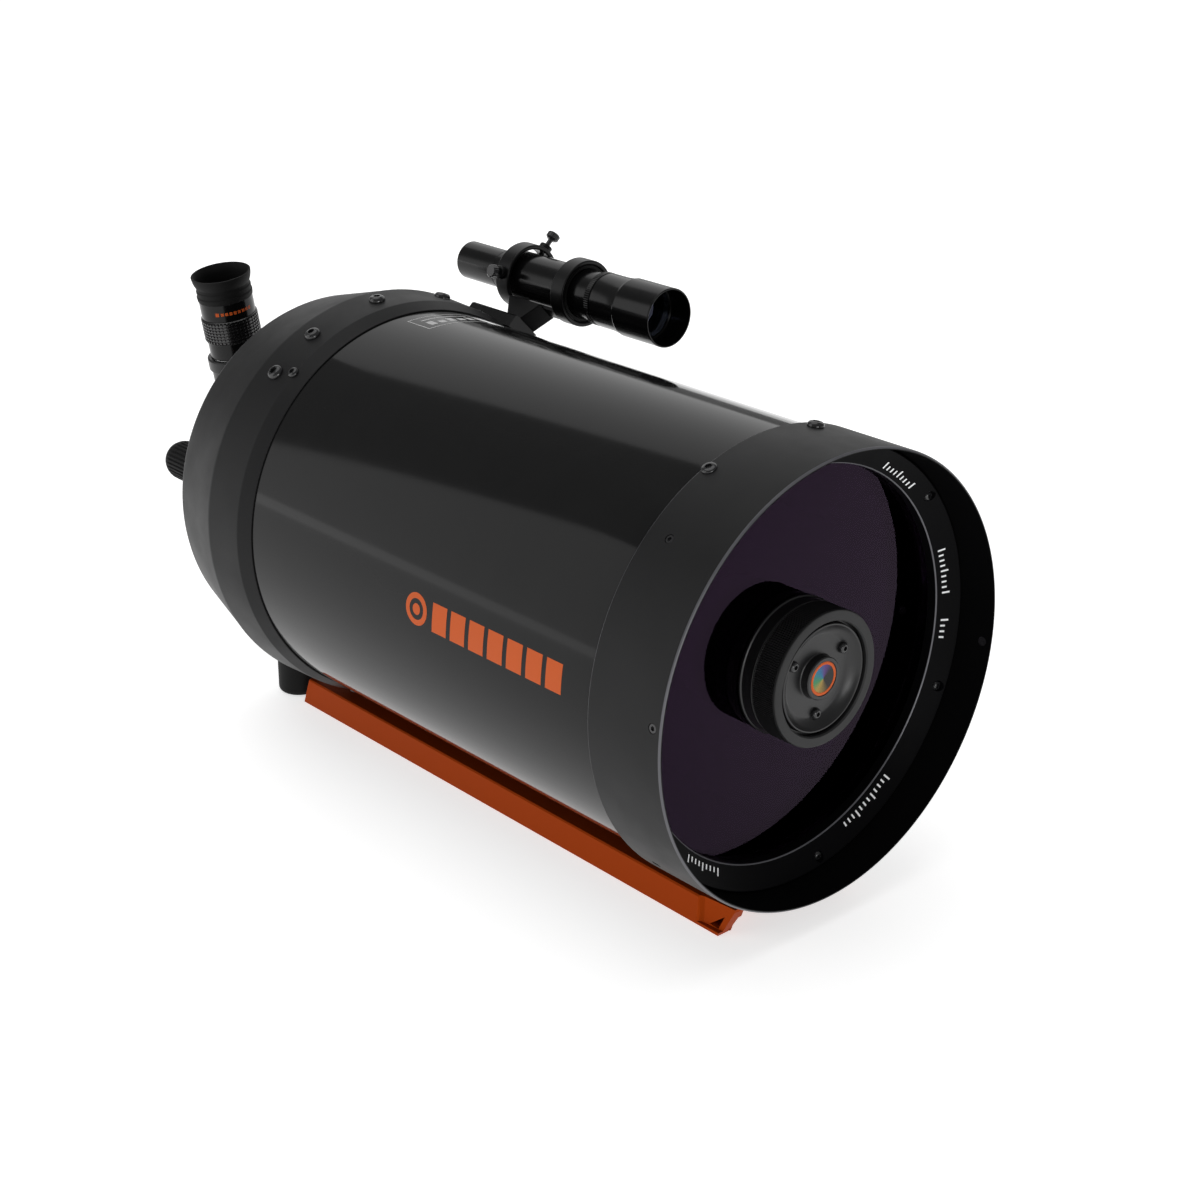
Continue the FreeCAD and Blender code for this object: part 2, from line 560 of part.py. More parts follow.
def make_visual_back():
    front = REAR_FACE_DEPTH + 3.2
    profile = [(front, PORT_THREAD_R), (front, 29.0), (front + 0.5, 29.5), (434.0, 29.5), (435.0, 28.5)]
    profile += [(435.0, 22.0), (436.5, 20.5), (BACK_END_DEPTH - 0.8, 20.5), (BACK_END_DEPTH, 19.7)]
    profile += [(BACK_END_DEPTH, BARREL_BORE_R), (PORT_END_DEPTH + 1.0, BARREL_BORE_R)]
    profile += [(PORT_END_DEPTH + 1.0, PORT_THREAD_R)]
    back = on_axis(profile)
    seat = around(0, 20.5, BACK_SCREW_DEPTH)
    tap = place(Part.makeCylinder(2.0 + RUNNING, 12), seat - Z_AXIS * 8, Z_AXIS)
    node("visual_back", back.cut(tap))
    node("visual_back_thumbscrew", thumbscrew(seat, Z_AXIS, 2.0, 4.3, 3.0, 5.5, 7.0))


NOSE_FRONT_DEPTH = 447.0
NOSE_SHOULDER_DEPTH = 470.0
BODY_FRONT_DEPTH = DIAGONAL_DEPTH - DIAGONAL_HALF
BODY_REAR_DEPTH = DIAGONAL_DEPTH + DIAGONAL_HALF
COLLAR_R = 18.8
HOLDER_R = 17.4


def upright(profile):
    """Solid of revolution about the eyepiece axis, before it is leaned."""
    solid = turned(profile, Vector(x_at(DIAGONAL_DEPTH), 0, AXIS_HEIGHT), Z_AXIS)
    return in_diagonal(solid)


def make_diagonal():
    half = DIAGONAL_HALF
    nose = [(NOSE_FRONT_DEPTH, 13.6), (NOSE_FRONT_DEPTH, BARREL_R - 0.6), (NOSE_FRONT_DEPTH + 0.6, BARREL_R)]
    nose += [(NOSE_SHOULDER_DEPTH, BARREL_R), (NOSE_SHOULDER_DEPTH, 17.6)]
    nose += [(BODY_FRONT_DEPTH, 17.6), (BODY_FRONT_DEPTH, 13.6)]
    node("diagonal_nose", on_axis(nose))
    front_x = x_at(BODY_FRONT_DEPTH)
    rear_x = x_at(BODY_REAR_DEPTH)
    low = AXIS_HEIGHT - half
    high = AXIS_HEIGHT + half
    rear_wall = 9.0
    bottom_wall = 9.0
    points = [(front_x, -half, low), (front_x, -half, high), (rear_x, -half, high)]
    points += [(rear_x, -half, high - rear_wall), (front_x - bottom_wall, -half, low)]
    body = prism(points, (0, 2 * half, 0))
    edges = [edge for edge in body.Edges if abs(edge.BoundBox.YLength) < 1e-6]
    body = body.makeFillet(1.6, edges)
    light_path = rod(BODY_FRONT_DEPTH - 1, DIAGONAL_DEPTH, 13.6)
    shaft = turned([(0, 0), (0, 13.6), (half + 1, 13.6), (half + 1, 0)],
                   Vector(x_at(DIAGONAL_DEPTH), 0, AXIS_HEIGHT), Z_AXIS)
    slope = Vector(rear_x - (front_x - bottom_wall), 0, (high - rear_wall) - low)
    slope.normalize()
    facing = Vector(slope.z, 0, -slope.x)
    middle = Vector((front_x - bottom_wall + rear_x) / 2, 0, (low + high - rear_wall) / 2)
    seat = slab(middle, slope, facing, 27.2, 27.2, -0.5, 9.0)
    body = body.cut(solids([light_path, shaft, seat]))
    node("diagonal_housing", in_diagonal(body))
    node("diagonal_mirror", in_diagonal(slab(middle, slope, facing, 26.0, 26.0, 3.2, 8.8)))
    cover = slab(middle, slope, facing, 34.0, 34.0, -2.0, 0.0)
    lid = slab(middle, slope, facing, 26.8, 26.8, 0.0, 3.0)
    screws = []
    for u in (-14.6, 14.6):
        for v in (-14.6, 14.6):
            seat_point = middle + slope * u + Y_AXIS * v + facing * -2.0
            screws.append(button_screw(seat_point, facing * -1, 1.6, 0.9, 0.8, 1.9))
    cover = cover.fuse(lid).removeSplitter().cut(solids(screws))
    node("diagonal_cover", in_diagonal(cover))
    node("diagonal_cover_screws", in_diagonal(solids(screws)))
    make_eyepiece_holder()


def slab(middle, slope, facing, length, width, inner, outer):
    """Flat plate across the sloping face, from one depth to another along facing."""
    corners = []
    for u, v in ((-1, -1), (1, -1), (1, 1), (-1, 1)):
        corner = middle + slope * (u * length / 2) + Y_AXIS * (v * width / 2) + facing * inner
        corners.append((corner.x, corner.y, corner.z))
    step = facing * (outer - inner)
    return prism(corners, (step.x, step.y, step.z))


def make_eyepiece_holder():
    base = DIAGONAL_HALF
    top = COLLAR_TOP
    profile = [(base, 14.0), (base, HOLDER_R), (top - 8.4, HOLDER_R), (top - 7.6, COLLAR_R)]
    profile += [(top - 0.8, COLLAR_R), (top, COLLAR_R - 0.8), (top, BARREL_BORE_R)]
    profile += [(base + 10.0, BARREL_BORE_R), (base + 10.0, 14.0)]
    holder = upright(profile)
    across = Vector(0, math.cos(math.radians(DIAGONAL_TILT)), math.sin(math.radians(DIAGONAL_TILT)))
    lean = outward(DIAGONAL_TILT)
    seat = Vector(x_at(DIAGONAL_DEPTH), 0, AXIS_HEIGHT) + lean * (top - 3.9) + across * COLLAR_R
    tap = place(Part.makeCylinder(1.7 + RUNNING, 8), seat - across * 5, across)
    node("diagonal_eyepiece_holder", holder.cut(tap))
    node("diagonal_thumbscrew", thumbscrew(seat, across, 1.7, 2.6, 2.5, 4.6, 6.0))


# ---------------------------------------------------------------- eyepiece
LOWER_TOP = 67.6
GRIP_TOP = 82.4
BAND_TOP = 93.4
RIM_TOP = 109.0
LOWER_R = 16.4
GRIP_R = 17.6
BAND_R = 16.7
RIM_R = 18.5


def make_eyepiece():
    seat = COLLAR_TOP + 0.1
    foot = seat - 26.0
    lens_seat = BAND_TOP - 2.4
    barrel = [(foot, 13.8), (foot, BARREL_R - 0.5), (foot + 0.5, BARREL_R), (seat, BARREL_R), (seat, 13.8)]
    node("eyepiece_barrel", upright(barrel))
    body = [(seat, 13.8), (seat, LOWER_R - 0.5), (seat + 0.5, LOWER_R), (LOWER_TOP, LOWER_R)]
    body += [(LOWER_TOP, LOWER_R - 0.8), (GRIP_TOP, LOWER_R - 0.8), (GRIP_TOP, BAND_R), (BAND_TOP, BAND_R)]
    body += [(BAND_TOP, 14.6), (BAND_TOP + 4.6, 14.6), (BAND_TOP + 4.6, 11.2), (lens_seat, 11.2)]
    body += [(lens_seat, 13.8)]
    node("eyepiece_body", upright(body))
    grip = [(LOWER_TOP, LOWER_R - 0.8), (LOWER_TOP, GRIP_R - 0.5), (LOWER_TOP + 0.5, GRIP_R)]
    grip += [(GRIP_TOP - 0.5, GRIP_R), (GRIP_TOP, GRIP_R - 0.5), (GRIP_TOP, LOWER_R - 0.8)]
    node("eyepiece_grip", upright(grip))
    step = BAND_TOP + 2.9
    cup = [(BAND_TOP, 14.6), (BAND_TOP, 17.0), (step, 17.3), (step + 0.6, 16.8), (step + 3.6, 17.0)]
    cup += [(step + 4.2, 16.6), (step + 7.6, 16.9), (RIM_TOP - 2.6, 17.5, RIM_TOP - 0.6, RIM_R)]
    cup += [(RIM_TOP, RIM_R), (RIM_TOP, RIM_R - 0.9), (RIM_TOP - 3.2, 16.0, RIM_TOP - 6.6, 15.4)]
    cup += [(RIM_TOP - 10.2, 14.6)]
    node("eyepiece_eyecup", upright(cup))
    low = lens_seat + 1.0
    top = low + 4.0
    eye_lens = upright([(low, 0), (low, 11.1), (low + 3.0, 11.1), (*crown(top, low + 3.0, 11.1), top, 0)])
    low = seat - 6.0
    hollow = (*crown(low + 2.0, low, 13.7), low, 13.7)
    field_lens = upright([(low + 2.0, 0), hollow, (low + 6.0, 13.7), (low + 6.0, 0)])
    node("eyepiece_lenses", solids([eye_lens, field_lens]))


# ---------------------------------------------------------------- finder
SHOE_DEPTHS = (336.0, 377.0)
SHOE_HALF = 15.0
SHOE_TOP = 125.5
SHOE_SCREW_DEPTHS = (345.5, 362.0)
FOOT_TOP_HALF = 9.0
FOOT_BASE_HALF = 12.0
FOOT_BOTTOM = 121.6
FOOT_DEPTHS = (338.5, 375.5)
FINDER_BODY_R = 14.6
FINDER_EYE_R = 11.6
FINDER_BARREL_R = 15.9
SHIELD_R = 17.2
STEP_DEPTH = 271.0
RING_BORE_R = 16.9
FINDER_PIVOT_DEPTH = 316.5
ADJUST_DEPTH = 366.8
ADJUST_ANGLES = (0.0, 120.0, -120.0)


def finder_turned(profile):
    return finder_frame(on_axis(profile, 0, FINDER_HEIGHT))


def make_finder_base():
    front = x_at(SHOE_DEPTHS[0])
    rear = x_at(SHOE_DEPTHS[1])
    low = AXIS_HEIGHT + 108
    top = AXIS_HEIGHT + SHOE_TOP
    shoe = box(rear, front, -SHOE_HALF, SHOE_HALF, low, top)
    edges = [e for e in shoe.Edges if e.BoundBox.ZMin > top - 1 and e.BoundBox.XLength > 1]
    shoe = shoe.makeChamfer(1.2, edges)
    profile = [(330.0, 0), (330.0, REAR_CELL_R), (342.0, REAR_CELL_R)]
    profile += [(REAR_RIDGE_DEPTH - 1.5, REAR_RIDGE_R), (REAR_RIDGE_DEPTH + 1.5, REAR_RIDGE_R)]
    profile += [(REAR_EDGE_DEPTH, REAR_EDGE_R), (REAR_EDGE_DEPTH, 0)]
    cell = on_axis(profile)
    wide = FOOT_BASE_HALF + GAP
    narrow = FOOT_TOP_HALF + GAP
    floor = AXIS_HEIGHT + FOOT_BOTTOM - GAP
    stop = x_at(FOOT_DEPTHS[1] + GAP)
    channel = prism([(stop, -wide, floor), (stop, wide, floor), (stop, narrow, top + 0.1),
                     (stop, -narrow, top + 0.1)], (front - stop + 1, 0, 0))
    lock_seat = Vector(x_at(352.0), SHOE_HALF, AXIS_HEIGHT + 123.4)
    tap = place(Part.makeCylinder(1.4 + RUNNING, 10), lock_seat - Y_AXIS * 8, Y_AXIS)
    screws = []
    holes = [cell, channel, tap]
    for depth in SHOE_SCREW_DEPTHS:
        seat = Vector(x_at(depth), 0, AXIS_HEIGHT + 119.6)
        screws.append(button_screw(seat, Z_AXIS, 2.8, 1.5, 1.5, 5.8))
        holes.append(Part.makeCylinder(3.0, 10, seat))
        holes.append(Part.makeCylinder(1.5, 20, seat - Z_AXIS * 12))
    node("finder_shoe", finder_frame(shoe.cut(solids(holes))))
    node("finder_shoe_screws", finder_frame(solids(screws)))
    node("finder_lock_screw", finder_frame(thumbscrew(lock_seat, Y_AXIS, 1.4, 2.4, 2.0, 4.6, 6.0)))


def make_finder_bracket():
    axis_z = AXIS_HEIGHT + FINDER_HEIGHT
    rear_front, rear_back = REAR_RING_DEPTHS
    fore_front, fore_back = FRONT_RING_DEPTHS
    shapes = [pipe(rear_front, rear_back, FINDER_RING_R, 10.0, 0, FINDER_HEIGHT, 0.6)]
    shapes.append(pipe(fore_front, fore_back, FINDER_RING_R, 10.0, 0, FINDER_HEIGHT, 0.6))
    web_low = AXIS_HEIGHT + 138.4
    shapes.append(box(x_at(rear_back), x_at(fore_front), -4.5, 4.5, web_low, axis_z - 15))
    foot_low = AXIS_HEIGHT + FOOT_BOTTOM
    foot_high = AXIS_HEIGHT + SHOE_TOP + 1
    stem = [(x_at(362.0), -7.5, web_low + 1.2), (x_at(332.0), -7.5, web_low + 1.2)]
    stem += [(x_at(341.5), -7.5, foot_high - 1), (x_at(352.0), -7.5, foot_high - 1)]
    shapes.append(prism(stem, (0, 15, 0)))
    foot_x = x_at(FOOT_DEPTHS[1])
    low = FOOT_BASE_HALF
    high = FOOT_TOP_HALF - 0.5
    foot = [(foot_x, -low, foot_low), (foot_x, low, foot_low)]
    foot += [(foot_x, high, foot_high), (foot_x, -high, foot_high)]
    shapes.append(prism(foot, (FOOT_DEPTHS[1] - FOOT_DEPTHS[0], 0, 0)))
    for angle in ADJUST_ANGLES:
        boss = turned([(14, 0), (14, 4.0), (22.4, 4.0), (22.8, 3.6), (22.8, 0)],
                      Vector(x_at(ADJUST_DEPTH), 0, axis_z), spoke(angle))
        shapes.append(boss)
    bracket = shapes[0].multiFuse(shapes[1:])
    bore = [rod(fore_front - 1, rear_back + 1, RING_BORE_R, 0, FINDER_HEIGHT)]
    bore.append(pipe(FINDER_PIVOT_DEPTH - 1.3, FINDER_PIVOT_DEPTH + 1.3, 17.7, 15, 0, FINDER_HEIGHT))
    for angle in ADJUST_ANGLES:
        foot_point = Vector(x_at(ADJUST_DEPTH), 0, axis_z) + spoke(angle) * 14
        bore.append(place(Part.makeCylinder(1.5 + RUNNING, 14), foot_point, spoke(angle)))
    bracket = bracket.cut(solids(bore)).removeSplitter()
    node("finder_bracket", finder_frame(bracket))
    torus = Part.makeTorus(16.15, 1.1, Vector(x_at(FINDER_PIVOT_DEPTH), 0, axis_z), X_AXIS)
    node("finder_o_ring", finder_frame(torus))
    make_adjusting_screws(axis_z)


def spoke(angle):
    """Direction around the finder axis, from straight up towards -Y."""
    turn = math.radians(angle)
    return Vector(0, -math.sin(turn), math.cos(turn))


def make_adjusting_screws(axis_z):
    centre = Vector(x_at(ADJUST_DEPTH), 0, axis_z)
    screws = (("top", 4.4, GAP), ("side", 1.6, 3 * GAP))
    for angle, (name, neck, tip_gap) in zip(ADJUST_ANGLES, screws):
        seat = centre + spoke(angle) * 22.8
        screw = thumbscrew(seat, spoke(angle), 1.5, 22.8 - FINDER_BODY_R - tip_gap, neck, 4.0, 4.6)
        node("finder_adjust_screw_" + name, finder_frame(screw))
    tip = FINDER_BODY_R + 1.6
    profile = [(tip, 0), (tip, 1.0), (tip + 0.6, 1.5), (22.8, 1.5)]
    profile += [(22.8, 3.4), (27.4, 3.4), (28.0, 2.8), (28.0, 0)]
    node("finder_spring_plunger", finder_frame(turned(profile, centre, spoke(ADJUST_ANGLES[2]))))


def make_finder_tube():
    front = FINDER_FRONT_DEPTH
    rear = FINDER_REAR_DEPTH
    body = FINDER_BODY_R
    barrel = FINDER_BARREL_R
    profile = [(292.0, 13.2), (292.0, body), (378.0, body), (382.0, FINDER_EYE_R), (386.0, FINDER_EYE_R)]
    profile += [(386.0, 10.2), (380.0, 10.2), (376.0, 13.2)]
    node("finder_tube", finder_turned(profile))
    profile = [(386.0, 10.2), (386.0, FINDER_EYE_R), (rear - 0.8, FINDER_EYE_R), (rear, FINDER_EYE_R - 0.8)]
    profile += [(rear, 6.5), (rear - 3.0, 5.0), (rear - 6.0, 5.0), (rear - 6.0, 10.2)]
    node("finder_eyepiece", finder_turned(profile))
    glass = rear - 6.0
    front_vertex = glass - 4.8
    profile = [(glass, 0), (glass, 10.1), (glass - 4.0, 10.1)]
    profile += [(*crown(front_vertex, glass - 4.0, 10.1), front_vertex, 0)]
    node("finder_eye_lens", finder_turned(profile))
    make_reticle(rear - 18.0)
    profile = [(292.4, body + RUNNING), (292.4, barrel - 0.5), (292.8, barrel), (296.6, barrel)]
    profile += [(297.0, barrel - 0.5), (297.0, body + RUNNING)]
    node("finder_lock_ring", finder_turned(profile))
    profile = [(front, 16.1), (front, SHIELD_R - 0.4), (front + 0.4, SHIELD_R), (STEP_DEPTH - 0.5, SHIELD_R)]
    profile += [(STEP_DEPTH, SHIELD_R - 0.5), (STEP_DEPTH + 0.2, SHIELD_R - 0.5), (STEP_DEPTH + 8.0, barrel)]
    profile += [(291.7, barrel), (291.7, 13.0), (262.0, 13.0), (262.0, 15.2), (256.0, 15.2), (256.0, 16.1)]
    node("finder_objective_cell", finder_turned(profile))
    profile = [(261.8, 0), (261.8, 15.1), (257.0, 15.1), (*crown(255.2, 257.0, 15.1), 255.2, 0)]
    node("finder_objective_lens", finder_turned(profile))


def make_reticle(depth):
    centre = AXIS_HEIGHT + FINDER_HEIGHT
    wire = 0.15
    reach = 9.6
    level = box(x_at(depth), x_at(depth) + 0.6, -reach, reach, centre - wire, centre + wire)
    plumb = box(x_at(depth), x_at(depth) + 0.6, -wire, wire, centre - reach, centre + reach)
    hoop = pipe(depth - 0.8, depth + 0.2, 10.2, 9.4, 0, FINDER_HEIGHT)
    node("finder_reticle", finder_frame(hoop.multiFuse([level, plumb])))


# ---------------------------------------------------------------- dovetail bar and feet
BAR_SCREW_YS = (-14.0, 14.0)
BAR_SCREW_R = 2.5
FRONT_BAR_SCREW_DEPTH = 38.0
REAR_BAR_SCREW_DEPTH = 362.0
SADDLE_HALF = 30.0
SCOOP_LEDGE = 1.9
FOOT_DEPTH = 408.0
FOOT_YS = (-38.0, 38.0)
FOOT_R = 13.0


def make_bar():
    rear = x_at(BAR_REAR_DEPTH)
    front = x_at(BAR_FRONT_DEPTH)
    top = BAR_HEIGHT
    under = top - BAR_WEB
    inner_top = BAR_TOP_HALF - BAR_WALL
    inner_bottom = BAR_BOTTOM_HALF - BAR_WALL
    half = [(BAR_BOTTOM_HALF - 0.6, 0), (BAR_BOTTOM_HALF, 0.6)]
    half += [(BAR_TOP_HALF, top - 0.8), (BAR_TOP_HALF - 0.8, top)]
    right = [(rear, y, z) for y, z in half]
    left = [(rear, -y, z) for y, z in reversed(half)]
    channel = [(rear, -inner_bottom, 0), (rear, -inner_top, under)]
    channel += [(rear, inner_top, under), (rear, inner_bottom, 0)]
    bar = prism(right + left + channel, (front - rear, 0, 0))
    chin = x_at(BAR_FRONT_DEPTH + BAR_CHIN)
    gap_x = x_at(BAR_FRONT_DEPTH + 9.0)
    front_gap = box(gap_x, front + 1, -34, 34, under - 1, top + 1)
    slope = [(chin, -60, -1), (front + 1, -60, top + 1), (front + 1, -60, -1)]
    cuts = [front_gap, prism(slope, (0, 120, 0))]
    for side in (-1, 1):
        cuts.append(end_scoop(side))
        window = [(x_at(37.5), side * 50, 2.6), (x_at(31.6), side * 50, 2.0), (x_at(29.4), side * 50, 8.8)]
        cuts.append(prism(window, (0, side * -12, 0)))
    for depth in (FRONT_BAR_SCREW_DEPTH, REAR_BAR_SCREW_DEPTH):
        for y in BAR_SCREW_YS:
            cuts.append(Part.makeCylinder(BAR_SCREW_R, 40, Vector(x_at(depth), y, -1)))
            cuts.append(Part.makeCylinder(4.6, 3.0, Vector(x_at(depth), y, under)))
    ridge_r = REAR_RIDGE_R + 0.1
    ridge = on_axis([(300.0, 0), (300.0, ridge_r), (420.0, ridge_r), (420.0, 0)])
    node("dovetail_bar", bar.cut(solids(cuts + [ridge])))


def end_scoop(side):
    """Cutter for the hollow in the bar's side at its front end, above a ledge along its foot."""
    low = [(44.6, 47.9), (43.4, 46.4), (41.2, 45.5), (23.0, 44.0), (23.0, 58.0), (44.6, 58.0)]
    high = [(48.3, 44.4), (46.6, 42.7), (44.2, 41.9), (23.0, 40.0), (23.0, 58.0), (48.3, 58.0)]
    loops = []
    for points, z in ((low, SCOOP_LEDGE), (high, BAR_HEIGHT + 0.9)):
        corners = [Vector(x_at(depth), side * y, z) for depth, y in points]
        loops.append(Part.makePolygon(corners + [corners[0]]))
    return Part.makeLoft(loops, True, True)


def make_bar_fittings():
    front_round = on_axis([(0.0, 0), (0.0, FRONT_CELL_R), (80.0, FRONT_CELL_R), (80.0, 0)])
    profile = [(330.0, 0), (330.0, REAR_CELL_R), (342.0, REAR_CELL_R)]
    profile += [(REAR_RIDGE_DEPTH - 1.5, REAR_RIDGE_R), (REAR_RIDGE_DEPTH, REAR_RIDGE_R), (REAR_RIDGE_DEPTH, 0)]
    rear_round = on_axis(profile)
    blocks = (("front_saddle", 34.5, 47.5, front_round), ("rear_saddle", 344.0, 366.0, rear_round))
    screw_depths = {"front_saddle": FRONT_BAR_SCREW_DEPTH, "rear_saddle": REAR_BAR_SCREW_DEPTH}
    saddles = []
    screws = []
    for name, near, far, cell in blocks:
        block = box(x_at(far), x_at(near), -SADDLE_HALF, SADDLE_HALF, BAR_HEIGHT, BAR_HEIGHT + 8).cut(cell)
        for y in BAR_SCREW_YS:
            at = Vector(x_at(screw_depths[name]), y, BAR_HEIGHT - BAR_WEB + 3.0)
            block = block.cut(Part.makeCylinder(BAR_SCREW_R, 30, Vector(at.x, y, 0)))
            screws.append(button_screw(at, -Z_AXIS, 4.5, 2.8, BAR_SCREW_R, 11.0))
        saddles.append(block)
    node("bar_saddles", solids(saddles))
    node("dovetail_screws", solids(screws))


def make_rear_feet():
    feet = []
    taper = on_axis([(330.0, 0), (330.0, REAR_RIDGE_R), (REAR_RIDGE_DEPTH + 1.5, REAR_RIDGE_R - 0.5),
                     (REAR_EDGE_DEPTH - 2.0, REAR_EDGE_R), (REAR_FACE_DEPTH + 6, REAR_EDGE_R + 1.0),
                     (REAR_FACE_DEPTH + 6, 0)])
    for y in FOOT_YS:
        at = Vector(x_at(FOOT_DEPTH), y, 0)
        profile = [(0, 0), (0, FOOT_R - 3), (0.9, FOOT_R - 0.9, 3, FOOT_R), (44, FOOT_R), (44, 0)]
        feet.append(turned(profile, at).cut(taper))
    node("rear_feet", solids(feet))


def build():
    make_tube()
    make_front_cell()
    make_corrector()
    make_retaining_ring()
    make_front_cell_screws()
    make_secondary_housing()
    make_secondary_baffle()
    make_secondary_lock_ring()
    make_secondary_cell()
    make_rear_cell()
    make_rear_cell_screws()
    make_mirror()
    make_baffle_tube()
    make_focuser()
    make_visual_back()
    make_diagonal()
    make_eyepiece()
    make_finder_base()
    make_finder_bracket()
    make_finder_tube()
    make_bar()
    make_bar_fittings()
    make_rear_feet()
    for name, shape in NODES.items():
        if not shape.isValid():
            print("invalid", name)
        shape.exportStep("parts/%s.step" % name)
    print(len(NODES), "nodes")


build()
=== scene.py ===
import json
import math

import bmesh
import bpy
from mathutils import Matrix, Vector


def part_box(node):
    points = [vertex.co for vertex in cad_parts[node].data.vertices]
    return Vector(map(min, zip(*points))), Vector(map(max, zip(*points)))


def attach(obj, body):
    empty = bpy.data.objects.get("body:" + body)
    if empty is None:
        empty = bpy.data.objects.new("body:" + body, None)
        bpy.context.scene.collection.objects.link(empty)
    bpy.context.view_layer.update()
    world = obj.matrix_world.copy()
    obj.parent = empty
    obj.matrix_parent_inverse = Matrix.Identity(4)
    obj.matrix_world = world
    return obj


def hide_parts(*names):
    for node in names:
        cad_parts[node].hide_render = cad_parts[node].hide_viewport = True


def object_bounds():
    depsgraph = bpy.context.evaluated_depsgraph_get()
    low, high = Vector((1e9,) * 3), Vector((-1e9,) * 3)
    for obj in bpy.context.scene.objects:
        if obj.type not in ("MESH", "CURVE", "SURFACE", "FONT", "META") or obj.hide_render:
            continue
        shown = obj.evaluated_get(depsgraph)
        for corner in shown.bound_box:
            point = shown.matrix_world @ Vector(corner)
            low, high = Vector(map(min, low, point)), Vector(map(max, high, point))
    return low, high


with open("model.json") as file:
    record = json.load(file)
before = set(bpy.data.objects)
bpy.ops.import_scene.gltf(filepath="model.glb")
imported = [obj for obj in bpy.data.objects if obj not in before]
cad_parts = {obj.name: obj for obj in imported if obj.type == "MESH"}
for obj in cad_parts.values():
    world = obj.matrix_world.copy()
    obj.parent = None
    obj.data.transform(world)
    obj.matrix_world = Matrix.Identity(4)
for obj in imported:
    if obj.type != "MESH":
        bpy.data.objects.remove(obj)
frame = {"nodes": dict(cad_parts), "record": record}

CAD_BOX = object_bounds()
MM = 0.001
X = Vector((1, 0, 0))
Z = Vector((0, 0, 1))
BODY_OF = {node: body for body, nodes in frame["record"]["behaviour"]["bodies"].items()
           for node in nodes}


def middle(node):
    low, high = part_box(node)
    return (low + high) / 2


FRONT_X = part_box("front_cell")[1].x
AXIS = middle("front_cell").z
FINDER = middle("finder_objective_cell")
FOCUS = middle("focus_screw")


# ---------------------------------------------------------------- materials
MIX_A, MIX_B, MIX_RESULT = 6, 7, 2    # colour sockets of a Mix node
PATCH_SCALE = 38.0                    # tone and gloss patches, per metre
NOISE_LOW, NOISE_HIGH = 0.3, 0.7      # the range that most of a noise falls in
LATHE_LINES, LATHE_RUN = 4000.0, 30.0  # lathe lines per metre across and along them


def wire(tree, source, output, target, entry):
    tree.links.new(source.outputs[output], target.inputs[entry])


def surface(name, color, rough, metallic=0.0, grain=0.0, grain_size=0.5, spread=0.05, tone=0.15,
            **extra):
    """Painted, moulded or machined surface: fine grain, patchy gloss and slight tone changes."""
    material = bpy.data.materials.new(name)
    material.use_nodes = True
    tree = material.node_tree
    shader = tree.nodes["Principled BSDF"]
    place = tree.nodes.new("ShaderNodeTexCoord")
    patches = tree.nodes.new("ShaderNodeTexNoise")
    patches.inputs["Scale"].default_value = PATCH_SCALE
    patches.inputs["Detail"].default_value = 5.0
    wire(tree, place, "Object", patches, "Vector")
    tint = tree.nodes.new("ShaderNodeMix")
    tint.data_type = "RGBA"
    tint.inputs[MIX_A].default_value = [c * (1 - tone) for c in color] + [1]
    tint.inputs[MIX_B].default_value = [min(1, c * (1 + tone)) for c in color] + [1]
    wire(tree, patches, 0, tint, 0)
    wire(tree, tint, MIX_RESULT, shader, "Base Color")
    gloss = tree.nodes.new("ShaderNodeMapRange")
    gloss.inputs["From Min"].default_value = NOISE_LOW
    gloss.inputs["From Max"].default_value = NOISE_HIGH
    gloss.inputs["To Min"].default_value = max(0.02, rough - spread)
    gloss.inputs["To Max"].default_value = rough + spread
    wire(tree, patches, 0, gloss, "Value")
    wire(tree, gloss, "Result", shader, "Roughness")
    shader.inputs["Metallic"].default_value = metallic
    for socket, value in extra.items():
        shader.inputs[socket.replace("_", " ")].default_value = value
    if grain:
        speckle = tree.nodes.new("ShaderNodeTexNoise")
        speckle.inputs["Scale"].default_value = 1.0 / (grain_size * MM)
        speckle.inputs["Detail"].default_value = 3.0
        wire(tree, place, "Object", speckle, "Vector")
        relief = tree.nodes.new("ShaderNodeBump")
        relief.inputs["Strength"].default_value = 0.6
        relief.inputs["Distance"].default_value = grain * MM
        wire(tree, speckle, 0, relief, "Height")
        wire(tree, relief, "Normal", shader, "Normal")
    return material


def coated_glass(name, tint, reflection, index):
    """Optical glass whose anti-reflection coating leaves a faint coloured sheen; tint colours what
    is seen through it, and a dark tint is painted shade.
    """
    material = bpy.data.materials.new(name)
    material.use_nodes = True
    tree = material.node_tree
    shader = tree.nodes["Principled BSDF"]
    shader.inputs["Base Color"].default_value = [*tint, 1]
    shader.inputs["Transmission Weight"].default_value = 1.0
    shader.inputs["IOR"].default_value = index
    shader.inputs["Specular Tint"].default_value = [*reflection, 1]
    place = tree.nodes.new("ShaderNodeTexCoord")
    film = tree.nodes.new("ShaderNodeTexNoise")
    film.inputs["Scale"].default_value = 12.0
    wire(tree, place, "Object", film, "Vector")
    haze = tree.nodes.new("ShaderNodeMapRange")
    haze.inputs["To Min"].default_value = 0.0
    haze.inputs["To Max"].default_value = 0.03
    wire(tree, film, 0, haze, "Value")
    wire(tree, haze, "Result", shader, "Roughness")
    return material


